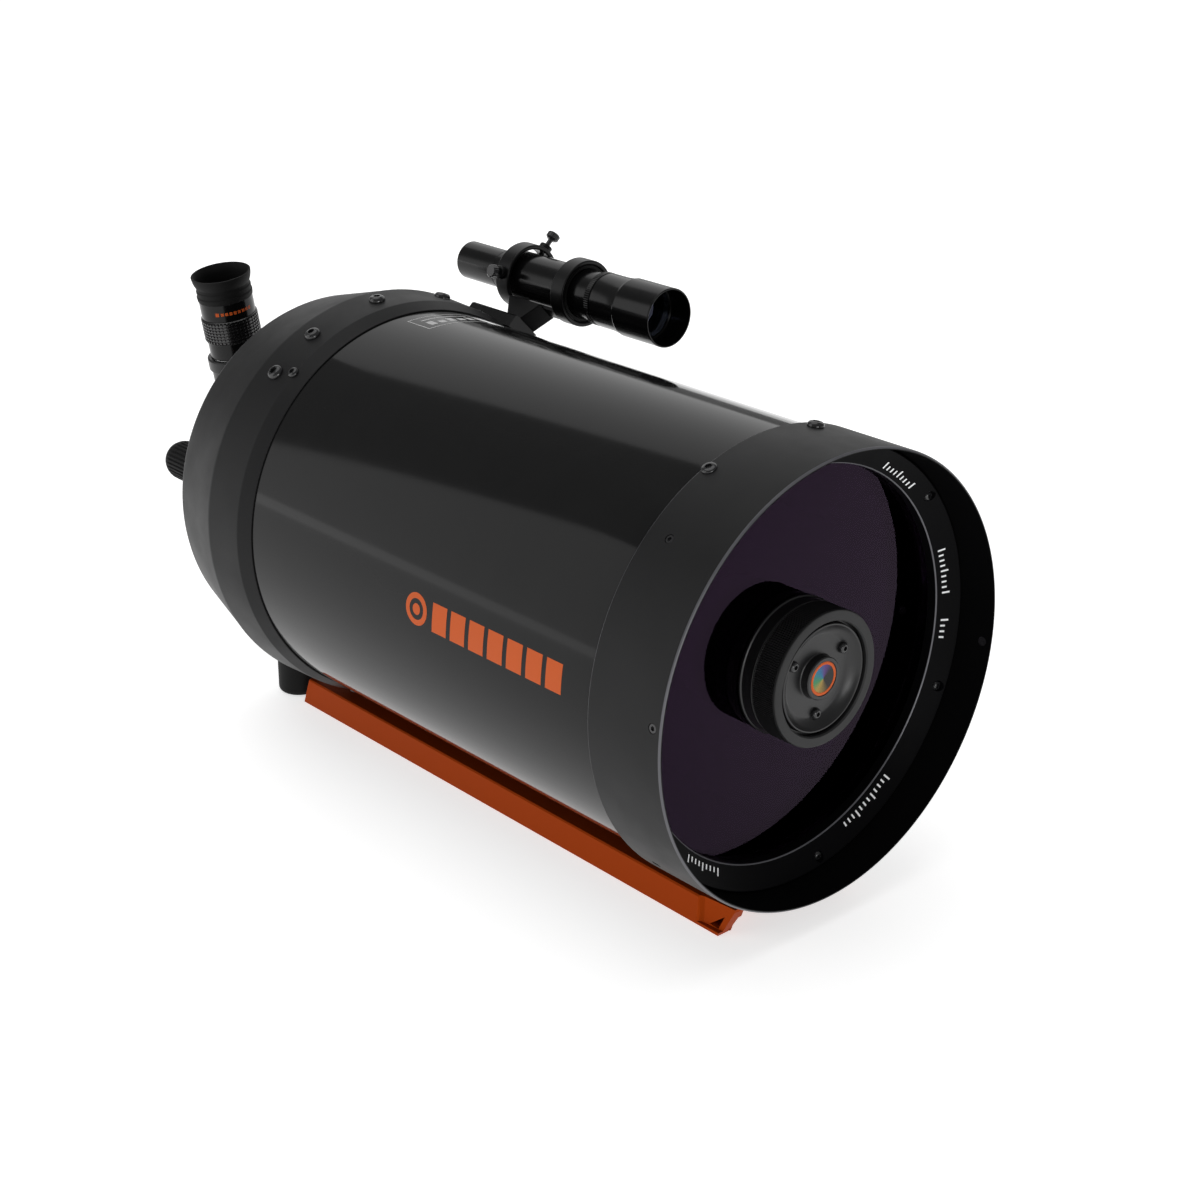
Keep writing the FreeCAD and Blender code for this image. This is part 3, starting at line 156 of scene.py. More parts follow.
def turned_metal(name, color, rough, line_axis):
    """Metal with fine lathe lines round its axis."""
    material = surface(name, color, rough, metallic=1.0, tone=0.05, spread=0.03)
    tree = material.node_tree
    shader = tree.nodes["Principled BSDF"]
    place = tree.nodes.new("ShaderNodeTexCoord")
    stretch = tree.nodes.new("ShaderNodeMapping")
    stretch.inputs["Scale"].default_value = [LATHE_LINES if across else LATHE_RUN
                                             for across in line_axis]
    wire(tree, place, "Object", stretch, "Vector")
    lines = tree.nodes.new("ShaderNodeTexNoise")
    lines.inputs["Scale"].default_value = 1.0
    wire(tree, stretch, "Vector", lines, "Vector")
    relief = tree.nodes.new("ShaderNodeBump")
    relief.inputs["Strength"].default_value = 0.25
    relief.inputs["Distance"].default_value = 0.02 * MM
    wire(tree, lines, 0, relief, "Height")
    wire(tree, relief, "Normal", shader, "Normal")
    return material


def badge_foil_painted_sheen(name, centre, spin):
    """Round foil sticker: colours that run round the middle inside an orange border, a painted
    rainbow sheen of the foil.
    """
    material = surface(name, (0.2, 0.2, 0.2), 0.25, metallic=0.7)
    tree = material.node_tree
    shader = tree.nodes["Principled BSDF"]
    place = tree.nodes.new("ShaderNodeTexCoord")
    shift = tree.nodes.new("ShaderNodeMapping")
    shift.inputs["Location"].default_value = -centre
    wire(tree, place, "Object", shift, "Vector")
    turn = tree.nodes.new("ShaderNodeMapping")
    turn.inputs["Rotation"].default_value = (0, math.radians(90), spin)
    wire(tree, shift, "Vector", turn, "Vector")
    around = tree.nodes.new("ShaderNodeTexGradient")
    around.gradient_type = "RADIAL"
    wire(tree, turn, "Vector", around, "Vector")
    colors = tree.nodes.new("ShaderNodeValToRGB")
    stops = [(0.0, (0.02, 0.02, 0.02)), (0.2, (0.3, 0.2, 0.05)), (0.32, (0.05, 0.2, 0.08)),
             (0.5, (0.02, 0.13, 0.24)), (0.62, (0.08, 0.04, 0.16)), (0.75, (0.02, 0.02, 0.02)),
             (1.0, (0.02, 0.02, 0.02))]
    ramp = colors.color_ramp
    while len(ramp.elements) < len(stops):
        ramp.elements.new(0.5)
    for element, (position, color) in zip(ramp.elements, stops):
        element.position = position
        element.color = [*color, 1]
    wire(tree, around, "Fac", colors, "Fac")
    wire(tree, colors, "Color", shader, "Base Color")
    return material


TUBE_PAINT = surface("tube_gloss_paint", (0.0095, 0.0095, 0.0096), 0.085, grain=0.006,
                     grain_size=1.6, spread=0.012, Specular_IOR_Level=0.15)
CELL_PAINT = surface("cell_satin_paint", (0.0092, 0.0092, 0.0096), 0.46, grain=0.05,
                     grain_size=0.5, Specular_IOR_Level=0.17)
HOOD_PAINT = surface("retainer_paint", (0.0032, 0.0032, 0.0036), 0.34, grain=0.015, grain_size=0.5,
                     Specular_IOR_Level=0.03)
BAFFLE = surface("flat_black_paint", (0.0028, 0.0028, 0.003), 0.7, grain=0.03, grain_size=0.4,
                 Specular_IOR_Level=0.02)
ORANGE = surface("orange_anodised", (0.34, 0.044, 0.002), 0.4, metallic=0.4, grain=0.014,
                 grain_size=0.35, tone=0.08, Specular_IOR_Level=0.05)
ANODISED = surface("black_anodised", (0.008, 0.008, 0.0085), 0.34, grain=0.012, grain_size=0.35,
                   Specular_IOR_Level=0.35)
GLOSS = surface("finder_gloss_paint", (0.003, 0.003, 0.0032), 0.16, grain=0.006, grain_size=0.9,
                spread=0.03, Specular_IOR_Level=0.26)
RUBBER = surface("black_rubber", (0.0055, 0.0055, 0.0055), 0.62, grain=0.03, grain_size=0.3,
                 Specular_IOR_Level=0.16)
GRIP = surface("glossy_grip_rubber", (0.006, 0.006, 0.0062), 0.22, grain=0.01, grain_size=0.3,
               Specular_IOR_Level=0.75)
PLASTIC = surface("moulded_plastic", (0.009, 0.009, 0.0095), 0.36, grain=0.02, grain_size=0.35,
                  Specular_IOR_Level=0.45)
FACE = surface("matte_ring_face", (0.013, 0.013, 0.0135), 0.5, grain=0.02, grain_size=0.3,
               Specular_IOR_Level=0.3)
STEEL = surface("black_oxide_steel", (0.014, 0.014, 0.015), 0.16, grain=0.006, grain_size=0.3,
                Specular_IOR_Level=0.6)
# Painted highlight: a lighter grey on rounded paint edges that stands in for the thin bright lines
# of light along them.
EDGE_HIGHLIGHT = surface("painted_edge_highlight", (0.10, 0.10, 0.11), 0.34, metallic=0.3, grain=0.01,
               grain_size=0.3, tone=0.3)
BRACKET = surface("bracket_satin_paint", (0.0045, 0.0045, 0.0048), 0.3, grain=0.012,
                  grain_size=0.5, Specular_IOR_Level=0.22)
BRASS = turned_metal("machined_brass", (0.62, 0.45, 0.18), 0.25, (1, 0, 0))
CHROME = turned_metal("turned_chrome", (0.72, 0.72, 0.73), 0.14, (1, 0, 0))
CHROME_UP = turned_metal("turned_chrome_upright", (0.72, 0.72, 0.73), 0.14, (0, 0, 1))
MIRROR = surface("aluminised_glass", (0.86, 0.87, 0.88), 0.03, metallic=1.0, spread=0.01,
                 tone=0.02)
# Painted shade: the corrector's dark purple transmission tint keeps the view into the tube dark;
# its violet reflection tint is the coating's sheen.
SHADE_TINTED_CORRECTOR = coated_glass("coated_corrector_painted_shade", (0.09, 0.055, 0.11), (0.78, 0.20, 1.0), 1.2)
LENS = coated_glass("coated_lens", (0.7, 0.75, 0.8), (0.5, 0.55, 0.95), 1.4)
ORANGE_INK = surface("orange_ink", (0.56, 0.098, 0.018), 0.4, grain=0.005, grain_size=0.4,
                     tone=0.06, Specular_IOR_Level=0.12)
WHITE_INK = surface("white_ink", (0.88, 0.89, 0.9), 0.5, grain=0.005, grain_size=0.4, tone=0.06)
GREY_INK = surface("grey_ink", (0.55, 0.55, 0.55), 0.5, grain=0.005, grain_size=0.4, tone=0.06)


# ---------------------------------------------------------------- mesh construction
ON_AXIS = 1e-6                         # a radius below this is a point on the axis
SMALLEST_TURN = math.radians(18)       # shallower corners stay as they are
ARC_STEP = 22                          # degrees of a rounded corner per step


def rounded(profile, radius):
    """Closed outline with each corner off the axis replaced by a small arc."""
    if radius <= 0:
        return list(profile)
    result = []
    count = len(profile)
    for k in range(count):
        before, here, after = profile[k - 1], profile[k], profile[(k + 1) % count]
        extra = here[2:]
        point = Vector(here[:2])
        a = Vector(before[:2]) - point
        b = Vector(after[:2]) - point
        if here[1] < ON_AXIS or a.length < ON_AXIS or b.length < ON_AXIS:
            result.append(here)
            continue
        cut = min(radius, a.length * 0.4, b.length * 0.4)
        turn = math.pi - a.angle(b)
        if turn < SMALLEST_TURN:
            result.append(here)
            continue
        start = point + a.normalized() * cut
        end = point + b.normalized() * cut
        steps = max(2, int(math.degrees(turn) / ARC_STEP) + 1)
        for i in range(steps + 1):
            t = i / steps
            spot = start * (1 - t) ** 2 + point * 2 * t * (1 - t) + end * t * t
            result.append((spot.x, spot.y, *extra))
    return result


def finish_mesh(mesh, angle=32):
    mesh.polygons.foreach_set("use_smooth", [True] * len(mesh.polygons))
    mesh.set_sharp_from_angle(angle=math.radians(angle))
    mesh.update()


def settle(obj, body, material, stands_for=()):
    if not obj.data.materials:
        obj.data.materials.append(material)
    even = obj.modifiers.new("even_normals", "WEIGHTED_NORMAL")
    even.keep_sharp = True
    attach(obj, body)
    if stands_for:
        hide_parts(*stands_for)


def make_object(name, mesh):
    obj = bpy.data.objects.new(name, mesh)
    bpy.context.scene.collection.objects.link(obj)
    return obj


def lathe(name, profile, at, along, segments=192, soften=0.3, teeth=0, wave=None, closed=True):
    """Surface of revolution in millimetres. A profile point is (height, radius), or
    (height, radius, amp), where amp is how far the teeth cut in at that point."""
    points = rounded(profile, soften) if closed else list(profile)
    along = along.normalized()
    side = along.orthogonal().normalized() if abs(along.z) > 0.9 else along.cross(Z).normalized()
    other = along.cross(side)
    mesh = bpy.data.meshes.new(name)
    bm = bmesh.new()
    if teeth:
        segments = teeth * len(wave)
    rings = []
    for point in points:
        height, radius = point[0], point[1]
        amp = point[2] if len(point) > 2 else 0.0
        base = at + along * height * MM
        if radius < ON_AXIS:
            rings.append([bm.verts.new(base)])
            continue
        ring = []
        for k in range(segments):
            r = radius - (amp * wave[k % len(wave)] if amp else 0.0)
            turn = 2 * math.pi * k / segments
            way = side * math.cos(turn) + other * math.sin(turn)
            ring.append(bm.verts.new(base + way * r * MM))
        rings.append(ring)
    pairs = list(zip(rings, rings[1:]))
    if closed:
        pairs.append((rings[-1], rings[0]))
    for low, high in pairs:
        if len(low) == 1 and len(high) == 1:
            continue
        for k in range(segments):
            n = (k + 1) % segments
            if len(low) == 1:
                bm.faces.new((low[0], high[n], high[k]))
            elif len(high) == 1:
                bm.faces.new((low[k], low[n], high[0]))
            else:
                bm.faces.new((low[k], low[n], high[n], high[k]))
    bmesh.ops.recalc_face_normals(bm, faces=bm.faces)
    bm.to_mesh(mesh)
    bm.free()
    finish_mesh(mesh)
    return make_object(name, mesh)


def prism(name, corners, step, bevel=0.5):
    """Straight extrusion of a planar outline, with rounded edges."""
    mesh = bpy.data.meshes.new(name)
    bm = bmesh.new()
    low = [bm.verts.new(c) for c in corners]
    high = [bm.verts.new(Vector(c) + step) for c in corners]
    bm.faces.new(low)
    bm.faces.new(high)
    for k in range(len(low)):
        n = (k + 1) % len(low)
        bm.faces.new((low[k], low[n], high[n], high[k]))
    bmesh.ops.recalc_face_normals(bm, faces=bm.faces)
    if bevel:
        bmesh.ops.bevel(bm, geom=list(bm.edges), offset=bevel * MM, segments=3, profile=0.5,
                        affect="EDGES")
    bm.to_mesh(mesh)
    bm.free()
    finish_mesh(mesh)
    return make_object(name, mesh)


def joined(name, objects):
    bm = bmesh.new()
    for obj in objects:
        bm.from_mesh(obj.data)
        bpy.data.objects.remove(obj)
    mesh = bpy.data.meshes.new(name)
    bm.to_mesh(mesh)
    bm.free()
    finish_mesh(mesh)
    return make_object(name, mesh)


def cut(obj, cutters):
    """Takes the cutters away from a mesh and keeps the result."""
    for cutter in cutters:
        modifier = obj.modifiers.new("cut", "BOOLEAN")
        modifier.object = cutter
        modifier.solver = "EXACT"
    graph = bpy.context.evaluated_depsgraph_get()
    mesh = bpy.data.meshes.new_from_object(obj.evaluated_get(graph))
    obj.modifiers.clear()
    obj.data = mesh
    for cutter in cutters:
        bpy.data.objects.remove(cutter)
    finish_mesh(mesh)


def optical(depth=0.0):
    return Vector((FRONT_X - depth * MM, 0, AXIS))


def outward(angle):
    """Direction away from the optical axis, from straight up towards -Y."""
    turn = math.radians(angle)
    return Vector((0, -math.sin(turn), math.cos(turn)))


def around(angle, radius, depth):
    return optical(depth) + outward(angle) * radius * MM


def barrel(name, node, profile, at, material, along=-X, **options):
    """Turned piece that stands for a CAD node. Its profile's heights run from at on the axis."""
    obj = lathe(name, profile, at, along, **options)
    settle(obj, BODY_OF[node], material, [node])


def arc(h0, r0, h1, r1, bulge, steps=8):
    """Points of a shallow curve between two profile points, bulging by a number of mm."""
    start, end = Vector((h0, r0)), Vector((h1, r1))
    way = end - start
    side = Vector((way.y, -way.x)).normalized()
    return [tuple(start + way * (i / steps) + side * bulge * 4 * (i / steps) * (1 - i / steps))
            for i in range(steps + 1)]


# ---------------------------------------------------------------- tube and cells
# A profile is (depth behind the front rim, radius) in mm. Angles are degrees for outward().
CELL_R = 117.5                         # outside of the front cell
SET_HOLE_FLOOR = 112.5
CENTRING_SCREWS = [(43.5 + 90 * k, 34.6, 2.4) for k in range(4)]    # angle, depth, radius
HOOD_SCREWS = [(84.1, 5.5, 2.5), (-95.9, 5.5, 2.5)]
TUBE_BUTTON_ANGLES = (23.1, 203.1, 293.1)    # the photo shows plain paint at 113.1
TUBE_BUTTON_DEPTH = 45.4
RETAINER_SCREW_R, RETAINER_SCREW_SEAT = 110.6, 24.6
CONE_OUTER = (20.5, 114.2)             # ends of the retaining ring's sloping face
CONE_INNER = (26.8, 102.5)
REAR_SCREW_DEPTH, REAR_TUBE_DEPTH = 355.0, 343.0
ACCESSORY_ANGLE, ACCESSORY_DEPTH = -9.5, 40.3
REAR_SCREW_ANGLES = (-19.0, 3.8, 26.3, 41.2)
REAR_SCREW_SEAT = 118.5
REAR_TUBE_ANGLES = (39.2, 159.2, 279.2)
REAR_TUBE_SEAT = 117.9


def build_tube():
    origin = optical()
    skin = [(42.6, 112.1), (42.6, 113.6), (352.9, 113.6), (352.9, 112.1)]
    barrel("tube_skin", "main_tube", skin, origin, TUBE_PAINT, segments=360, soften=0.2)
    build_front_cell(origin)
    rear = [(333.0, 113.7), (333.0, 114.3), (341.0, 117.7), (342.0, 118.0), (367.5, 119.15)]
    rear += [(369.0, 119.1), (370.5, 118.6), (415.0, 107.2), (418.4, 105.6), (420.0, 102.0)]
    rear += [(420.0, 44.0), (423.0, 41.0), (423.0, 30.0), (421.0, 29.0), (421.0, 25.4),
             (432.0, 25.4)]
    rear += [(432.0, 19.0), (412.0, 19.0), (412.0, 101.0), (374.0, 110.5), (353.1, 110.5),
             (353.1, 113.7)]
    obj = lathe("rear_casting", rear, origin, -X, segments=360, soften=0.7)
    seats = [(angle, REAR_SCREW_SEAT, REAR_SCREW_DEPTH, 4.8) for angle in REAR_SCREW_ANGLES]
    seats += [(angle, REAR_TUBE_SEAT, REAR_TUBE_DEPTH, 3.4) for angle in REAR_TUBE_ANGLES]
    cutters = []
    for angle, seat, depth, radius in seats:
        cutters.append(lathe("seat", [(0, 0), (0, radius), (6, radius), (6, 0)],
                             around(angle, seat, depth), outward(angle), segments=40, soften=0))
    cut(obj, cutters)
    settle(obj, "tube_assembly", CELL_PAINT, ["rear_cell"])


def build_front_cell(origin):
    cell = [(0.0, 115.9), (0.0, 116.7), (0.8, 117.5), (48.3, 117.5), (49.0, 116.8), (49.0, 113.7),
            (42.5, 113.7)]
    cell += [(42.5, 101.6), (38.4, 101.6), (38.4, 104.6), (30.0, 104.6), (30.0, 115.7)]
    obj = lathe("front_casting", cell, origin, -X, segments=360, soften=0.3)
    holes = []
    sets = CENTRING_SCREWS + HOOD_SCREWS
    for angle, depth, radius in sets:
        holes.append(lathe("hole", [(0, 0), (0, radius), (12, radius), (12, 0)],
                           around(angle, SET_HOLE_FLOOR, depth),
                           outward(angle), segments=28, soften=0))
    cut(obj, holes)
    for material in (CELL_PAINT, BAFFLE, EDGE_HIGHLIGHT):
        obj.data.materials.append(material)
    # Inside faces take flat black paint; faces of the rounded outer rim take the painted edge
    # highlight.
    for face in obj.data.polygons:
        offset = face.center - optical()
        reach = Vector((0, offset.y, offset.z))
        outside = face.normal.dot(reach.normalized())
        if outside < 0:
            face.material_index = 1
        elif reach.length > (CELL_R - 0.9) * MM and 0.15 < outside < 0.95:
            face.material_index = 2
    settle(obj, "tube_assembly", CELL_PAINT, ["front_cell"])
    screws = [set_screw(around(angle, CELL_R, depth), outward(angle), radius)
              for angle, depth, radius in sets]
    for angle in TUBE_BUTTON_ANGLES:
        seat = around(angle, CELL_R, TUBE_BUTTON_DEPTH)
        screws.append(button_screw(seat, outward(angle), 4.0, 1.5))
    settle(joined("front_set_screws", screws), "tube_assembly", STEEL,
           ["front_cell_set_screws"])
    ring = [(30.0, 114.7), (20.9, 114.7), (20.5, 114.2), (26.8, 103.1), (27.3, 102.5),
            (32.6, 102.5), (32.6, 104.3)]
    ring += [(30.0, 104.3)]
    obj = lathe("retainer", ring, origin, -X, segments=360, soften=0.35)
    obj.data.materials.append(HOOD_PAINT)
    obj.data.materials.append(EDGE_HIGHLIGHT)
    # Faces of the ring's small inner lip take the painted edge highlight.
    for face in obj.data.polygons:
        depth = (FRONT_X - face.center.x) / MM
        if 26.75 < depth < 27.45:
            face.material_index = 1
    pockets = []
    screws = []
    for k in range(6):
        seat = around(9.0 + 60 * k, RETAINER_SCREW_R, RETAINER_SCREW_SEAT)
        pockets.append(lathe("pocket", [(0, 0), (0, 2.9), (10, 2.9), (10, 0)], seat, X,
                             segments=32, soften=0))
        screws.append(button_screw(seat, X, 2.6, 2.2))
    cut(obj, pockets)
    settle(obj, "tube_assembly", HOOD_PAINT, ["corrector_retaining_ring"])
    settle(joined("retainer_screws", screws), "tube_assembly", STEEL,
           ["retaining_ring_screws"])
    plate = [(32.62, 31.0), (32.62, 104.2), (37.58, 104.2), (37.58, 31.0)]
    barrel("corrector_glass", "corrector_plate", plate, origin, SHADE_TINTED_CORRECTOR, segments=256,
           soften=0.2)


HEAD_POINTS = 24                       # points round a screw head and its hexagon socket


def hexagon_ring(at, along, radius, depth):
    """Points of a hexagon, as many as round the screw head, so that the two can be bridged."""
    side = along.orthogonal().normalized()
    other = along.cross(side)
    points = []
    for k in range(HEAD_POINTS):
        turn = 2 * math.pi * k / HEAD_POINTS
        reach = radius * math.cos(math.pi / 6) / math.cos((turn % (math.pi / 3)) - math.pi / 6)
        way = side * math.cos(turn) + other * math.sin(turn)
        points.append(at + along * depth * MM + way * reach * MM)
    return points


def socketed(name, rings, at, along, socket_r, socket_top, socket_depth):
    """Round head with a hexagon socket. A ring is (radius, height), from foot to rim."""
    side = along.orthogonal().normalized()
    other = along.cross(side)
    bm = bmesh.new()
    loops = []
    for radius, height in rings:
        loop = []
        for k in range(HEAD_POINTS):
            turn = 2 * math.pi * k / HEAD_POINTS
            way = side * math.cos(turn) + other * math.sin(turn)
            loop.append(bm.verts.new(at + along * height * MM + way * radius * MM))
        loops.append(loop)
    for depth in (socket_top, socket_top - socket_depth):
        loops.append([bm.verts.new(p) for p in hexagon_ring(at, along, socket_r, depth)])
    for low, high in zip(loops, loops[1:]):
        for k in range(HEAD_POINTS):
            n = (k + 1) % HEAD_POINTS
            bm.faces.new((low[k], low[n], high[n], high[k]))
    bm.faces.new(loops[-1])
    bm.faces.new(list(reversed(loops[0])))
    bmesh.ops.recalc_face_normals(bm, faces=bm.faces)
    mesh = bpy.data.meshes.new(name)
    bm.to_mesh(mesh)
    bm.free()
    finish_mesh(mesh, 40)
    return make_object(name, mesh)


def button_screw(at, along, head_r, head_h):
    rings = [(head_r, 0.0), (head_r, head_h * 0.25), (head_r * 0.95, head_h * 0.55),
             (head_r * 0.82, head_h * 0.82),
             (head_r * 0.66, head_h * 0.96), (head_r * 0.52, head_h)]
    return socketed("screw", rings, at, along, head_r * 0.46, head_h, head_h * 0.6)


def set_screw(at, along, radius):
    rings = [(radius - 0.1, -1.7), (radius - 0.1, -0.45), (radius - 0.3, -0.25)]
    return socketed("screw", rings, at, along, radius * 0.5, -0.25, 0.9)


def build_cell_screws():
    seat = around(ACCESSORY_ANGLE, CELL_R, ACCESSORY_DEPTH)
    screws = [button_screw(seat, outward(ACCESSORY_ANGLE), 4.3, 2.6)]
    for angle in REAR_SCREW_ANGLES:
        seat = around(angle, REAR_SCREW_SEAT, REAR_SCREW_DEPTH)
        screws.append(button_screw(seat, outward(angle), 4.7, 2.8))
    settle(joined("accessory_buttons", screws), "tube_assembly", STEEL,
           ["accessory_screws"])
    screws = []
    for angle in REAR_TUBE_ANGLES:
        seat = around(angle, REAR_TUBE_SEAT, REAR_TUBE_DEPTH)
        screws.append(button_screw(seat, outward(angle), 3.3, 1.8))
    settle(joined("rear_buttons", screws), "tube_assembly", STEEL,
           ["rear_tube_screws"])


# ---------------------------------------------------------------- secondary
KNURL = (0.0, 0.5, 1.0, 0.5)
COLLIMATION_ANGLES = (-60, 60, 180)
COLLIMATION_R = 20.0


def build_secondary():
    origin = optical()
    housing = [(46.0, 28.3), (46.0, 30.8), (32.58, 30.8), (32.58, 35.3), (32.0, 35.9),
               (31.0, 35.9), (30.4, 35.1)]
    housing += [(24.3, 35.1), (24.0, 34.8), (24.0, 33.0), (12.9, 33.0), (12.9, 28.3)]
    barrel("secondary_mount", "secondary_housing", housing, origin, PLASTIC, segments=256,
           soften=0.25)
    face = [(9.2, 29.5), (8.5, 30.2), (8.5, 34.3), (8.75, 34.95), (9.3, 35.25), (9.9, 35.3)]
    face += [(10.1, 35.3, 0.42), (23.0, 35.3, 0.42), (23.2, 35.3), (23.7, 34.9), (23.7, 33.1),
             (11.1, 33.1), (11.1, 29.5)]
    barrel("secondary_ring", "secondary_lock_ring", face, origin, FACE, soften=0, teeth=190,
           wave=KNURL)
    dish = [(18.9, 0), (18.9, 28.0), (10.2, 28.0), (9.9, 27.7), (9.9, 27.1)]
    dish += arc(10.2, 26.8, 14.45, 21.6, -0.5)
    dish += [(14.5, 21.0), (14.5, 11.7), (14.2, 11.25), (13.8, 11.1)]
    dish += [(10.1, 11.1), (9.6, 10.6), (9.6, 9.1), (10.0, 8.9), (10.05, 0)]
    obj = lathe("secondary_dish", dish, origin, -X, soften=0)
    seats = [around(angle, COLLIMATION_R, 14.5) for angle in COLLIMATION_ANGLES]
    cut(obj, [lathe("seat", [(0, 0), (0, 3.2), (8, 3.2), (8, 0)], at, X, segments=40, soften=0)
              for at in seats])
    settle(obj, "tube_assembly", PLASTIC, ["secondary_cell"])
    for k, angle in enumerate(COLLIMATION_ANGLES):
        node = "collimation_screw_%d" % (k + 1)
        head = button_screw(around(angle, COLLIMATION_R, 14.4), X, 2.9, 2.3)
        head.name = "collimator_head_%d" % (k + 1)
        settle(head, BODY_OF[node], STEEL, [node])
    # Painted sheen: the foil's rainbow colours are fixed in its base colour.
    foil = lathe("badge_foil_painted_sheen", [(9.99, 0), (9.93, 7.2), (9.99, 7.25)], origin, -X, segments=96,
                 closed=False)
    settle(foil, "tube_assembly", badge_foil_painted_sheen("badge_foil_painted_sheen", optical(10), 0.6))
    border = [(9.98, 7.2), (9.8, 7.35), (9.72, 7.9), (9.8, 8.5), (9.98, 8.75)]
    border = lathe("badge_border", border, origin, -X, segments=96, closed=False)
    settle(border, "tube_assembly", ORANGE_INK)
    mirror = [(19.45, 0), (19.45, 27.3), (29.0, 27.3)] + arc(29.0, 27.3, 30.5, 0, 0.3)
    barrel("secondary_optic", "secondary_mirror", mirror, origin, MIRROR, segments=96, soften=0)


# ---------------------------------------------------------------- finder
FINDER_HEIGHT = 157.5                  # finder's axis above the optical axis
SADDLES = ((311.0, 322.0), (361.0, 372.5))    # front and rear of the bracket's rings
BOSS_DEPTH = 366.8
SLEEVE_RIBS, SLEEVE_PITCH = 4, 2.2


def build_finder():
    at = Vector((FRONT_X, FINDER.y, FINDER.z))
    up = Vector((0, FINDER.y, FINDER.z - AXIS)).normalized()
    across = up.cross(X).normalized() * -1
    shield = [(240.5, 16.2), (240.5, 16.9), (240.9, 17.2), (270.3, 17.2), (271.0, 16.8),
              (278.6, 15.95), (291.7, 15.9)]
    shield += [(291.7, 13.0), (262.0, 13.0), (262.0, 15.2), (256.0, 15.2), (256.0, 16.1)]
    barrel("finder_shield", "finder_objective_cell", shield, at, GLOSS, segments=192, soften=0.35)
    ring = [(292.4, 14.7), (292.4, 15.5), (292.8, 15.9), (293.0, 15.9, 0.3), (296.4, 15.9, 0.3),
            (296.6, 15.9)]
    ring += [(297.0, 15.5), (297.0, 14.7)]
    barrel("finder_ring_nut", "finder_lock_ring", ring, at, GLOSS, soften=0, teeth=72, wave=KNURL)
    tube = [(292.0, 13.2), (292.0, 14.6), (378.0, 14.6), (382.0, 11.7), (386.0, 11.6),
            (386.0, 10.2), (380.0, 10.2), (376.0, 13.2)]
    barrel("finder_body", "finder_tube", tube, at, GLOSS, segments=192, soften=0.4)
    eye = [(386.02, 10.2), (386.02, 11.6), (420.0, 11.6), (420.5, 11.1), (420.5, 6.5),
           (417.5, 5.0), (414.5, 5.0), (414.5, 10.2)]
    barrel("finder_eye_tube", "finder_eyepiece", eye, at, GLOSS, segments=160, soften=0.7)
    glass = arc(257.0, 15.1, 255.2, 0, 0.4) + [(261.8, 0), (261.8, 15.1)]
    barrel("finder_front_glass", "finder_objective_lens", glass, at, LENS, segments=128, soften=0)
    glass = [(414.5, 0), (414.5, 10.1), (410.5, 10.1)] + arc(410.5, 10.1, 409.7, 0, 0.2)
    barrel("finder_eye_glass", "finder_eye_lens", glass, at, LENS, segments=96, soften=0)
    sleeve = [(312.2, 14.85), (312.0, 15.0), (312.0, 16.7)]
    for k in range(SLEEVE_RIBS):
        rib = 313.0 + SLEEVE_PITCH * k
        sleeve += [(rib, 16.82), (rib + 1.2, 16.82)]
    sleeve += [(321.0, 16.7), (321.0, 15.0), (320.8, 14.85)]
    barrel("finder_sleeve", "finder_o_ring", sleeve, at, RUBBER, segments=128, soften=0)
    build_bracket(at, up, across)


def build_bracket(at, up, across):
    parts = []
    for front, rear in SADDLES:
        profile = [(front + 0.9, 16.9), (front, 17.8), (front, 19.3), (front + 0.5, 19.8),
                   (rear - 0.6, 19.8)]
        profile += [(rear, 19.2), (rear, 16.9)]
        parts.append(lathe("ring", profile, at, -X, segments=192, soften=0.4))

    def spot(depth, side, height):
        return at + (X * -depth + across * side + up * (height - FINDER_HEIGHT)) * MM

    web = [spot(372.0, -4.5, 138.6), spot(311.5, -4.5, 138.6), spot(311.5, -4.5, 140.9),
           spot(372.0, -4.5, 140.9)]
    parts.append(prism("web", web, across * 9.0 * MM, 0.4))
    stem = [spot(362.0, -7.5, 139.8), spot(332.0, -7.5, 139.8), spot(341.5, -7.5, 125.4),
            spot(352.0, -7.5, 125.4)]
    parts.append(prism("stem", stem, across * 15.0 * MM, 0.8))
    foot = [spot(375.5, -12.0, 121.6), spot(375.5, 12.0, 121.6), spot(375.5, 8.5, 126.5),
            spot(375.5, -8.5, 126.5)]
    parts.append(prism("foot", foot, X * 37.0 * MM, 0.4))
    for angle in (0.0, 120.0, -120.0):
        turn = math.radians(angle)
        way = up * math.cos(turn) - across * math.sin(turn)
        base = at - X * BOSS_DEPTH * MM
        boss = [(17.5, 0), (17.5, 4.0), (22.4, 4.0), (22.8, 3.6), (22.8, 0)]
        parts.append(lathe("boss", boss, base, way, segments=48, soften=0.2))
    obj = joined("finder_saddle", parts)
    settle(obj, "finder_mount", BRACKET, ["finder_bracket"])


# ---------------------------------------------------------------- focuser, eyepiece
EYEPIECE_DEPTH = 504.0                 # where the eyepiece's axis crosses the optical axis
BARREL_R = 15.87                       # half of the 1.25 inch fitting
SEAT = 56.5                            # height of the eyepiece's shoulder above the crossing
GRIP_LOW, GRIP_HIGH, GRIP_ROWS = 68.3, 82.0, 7
BAND_R = 16.74                         # printed band under the eyecup


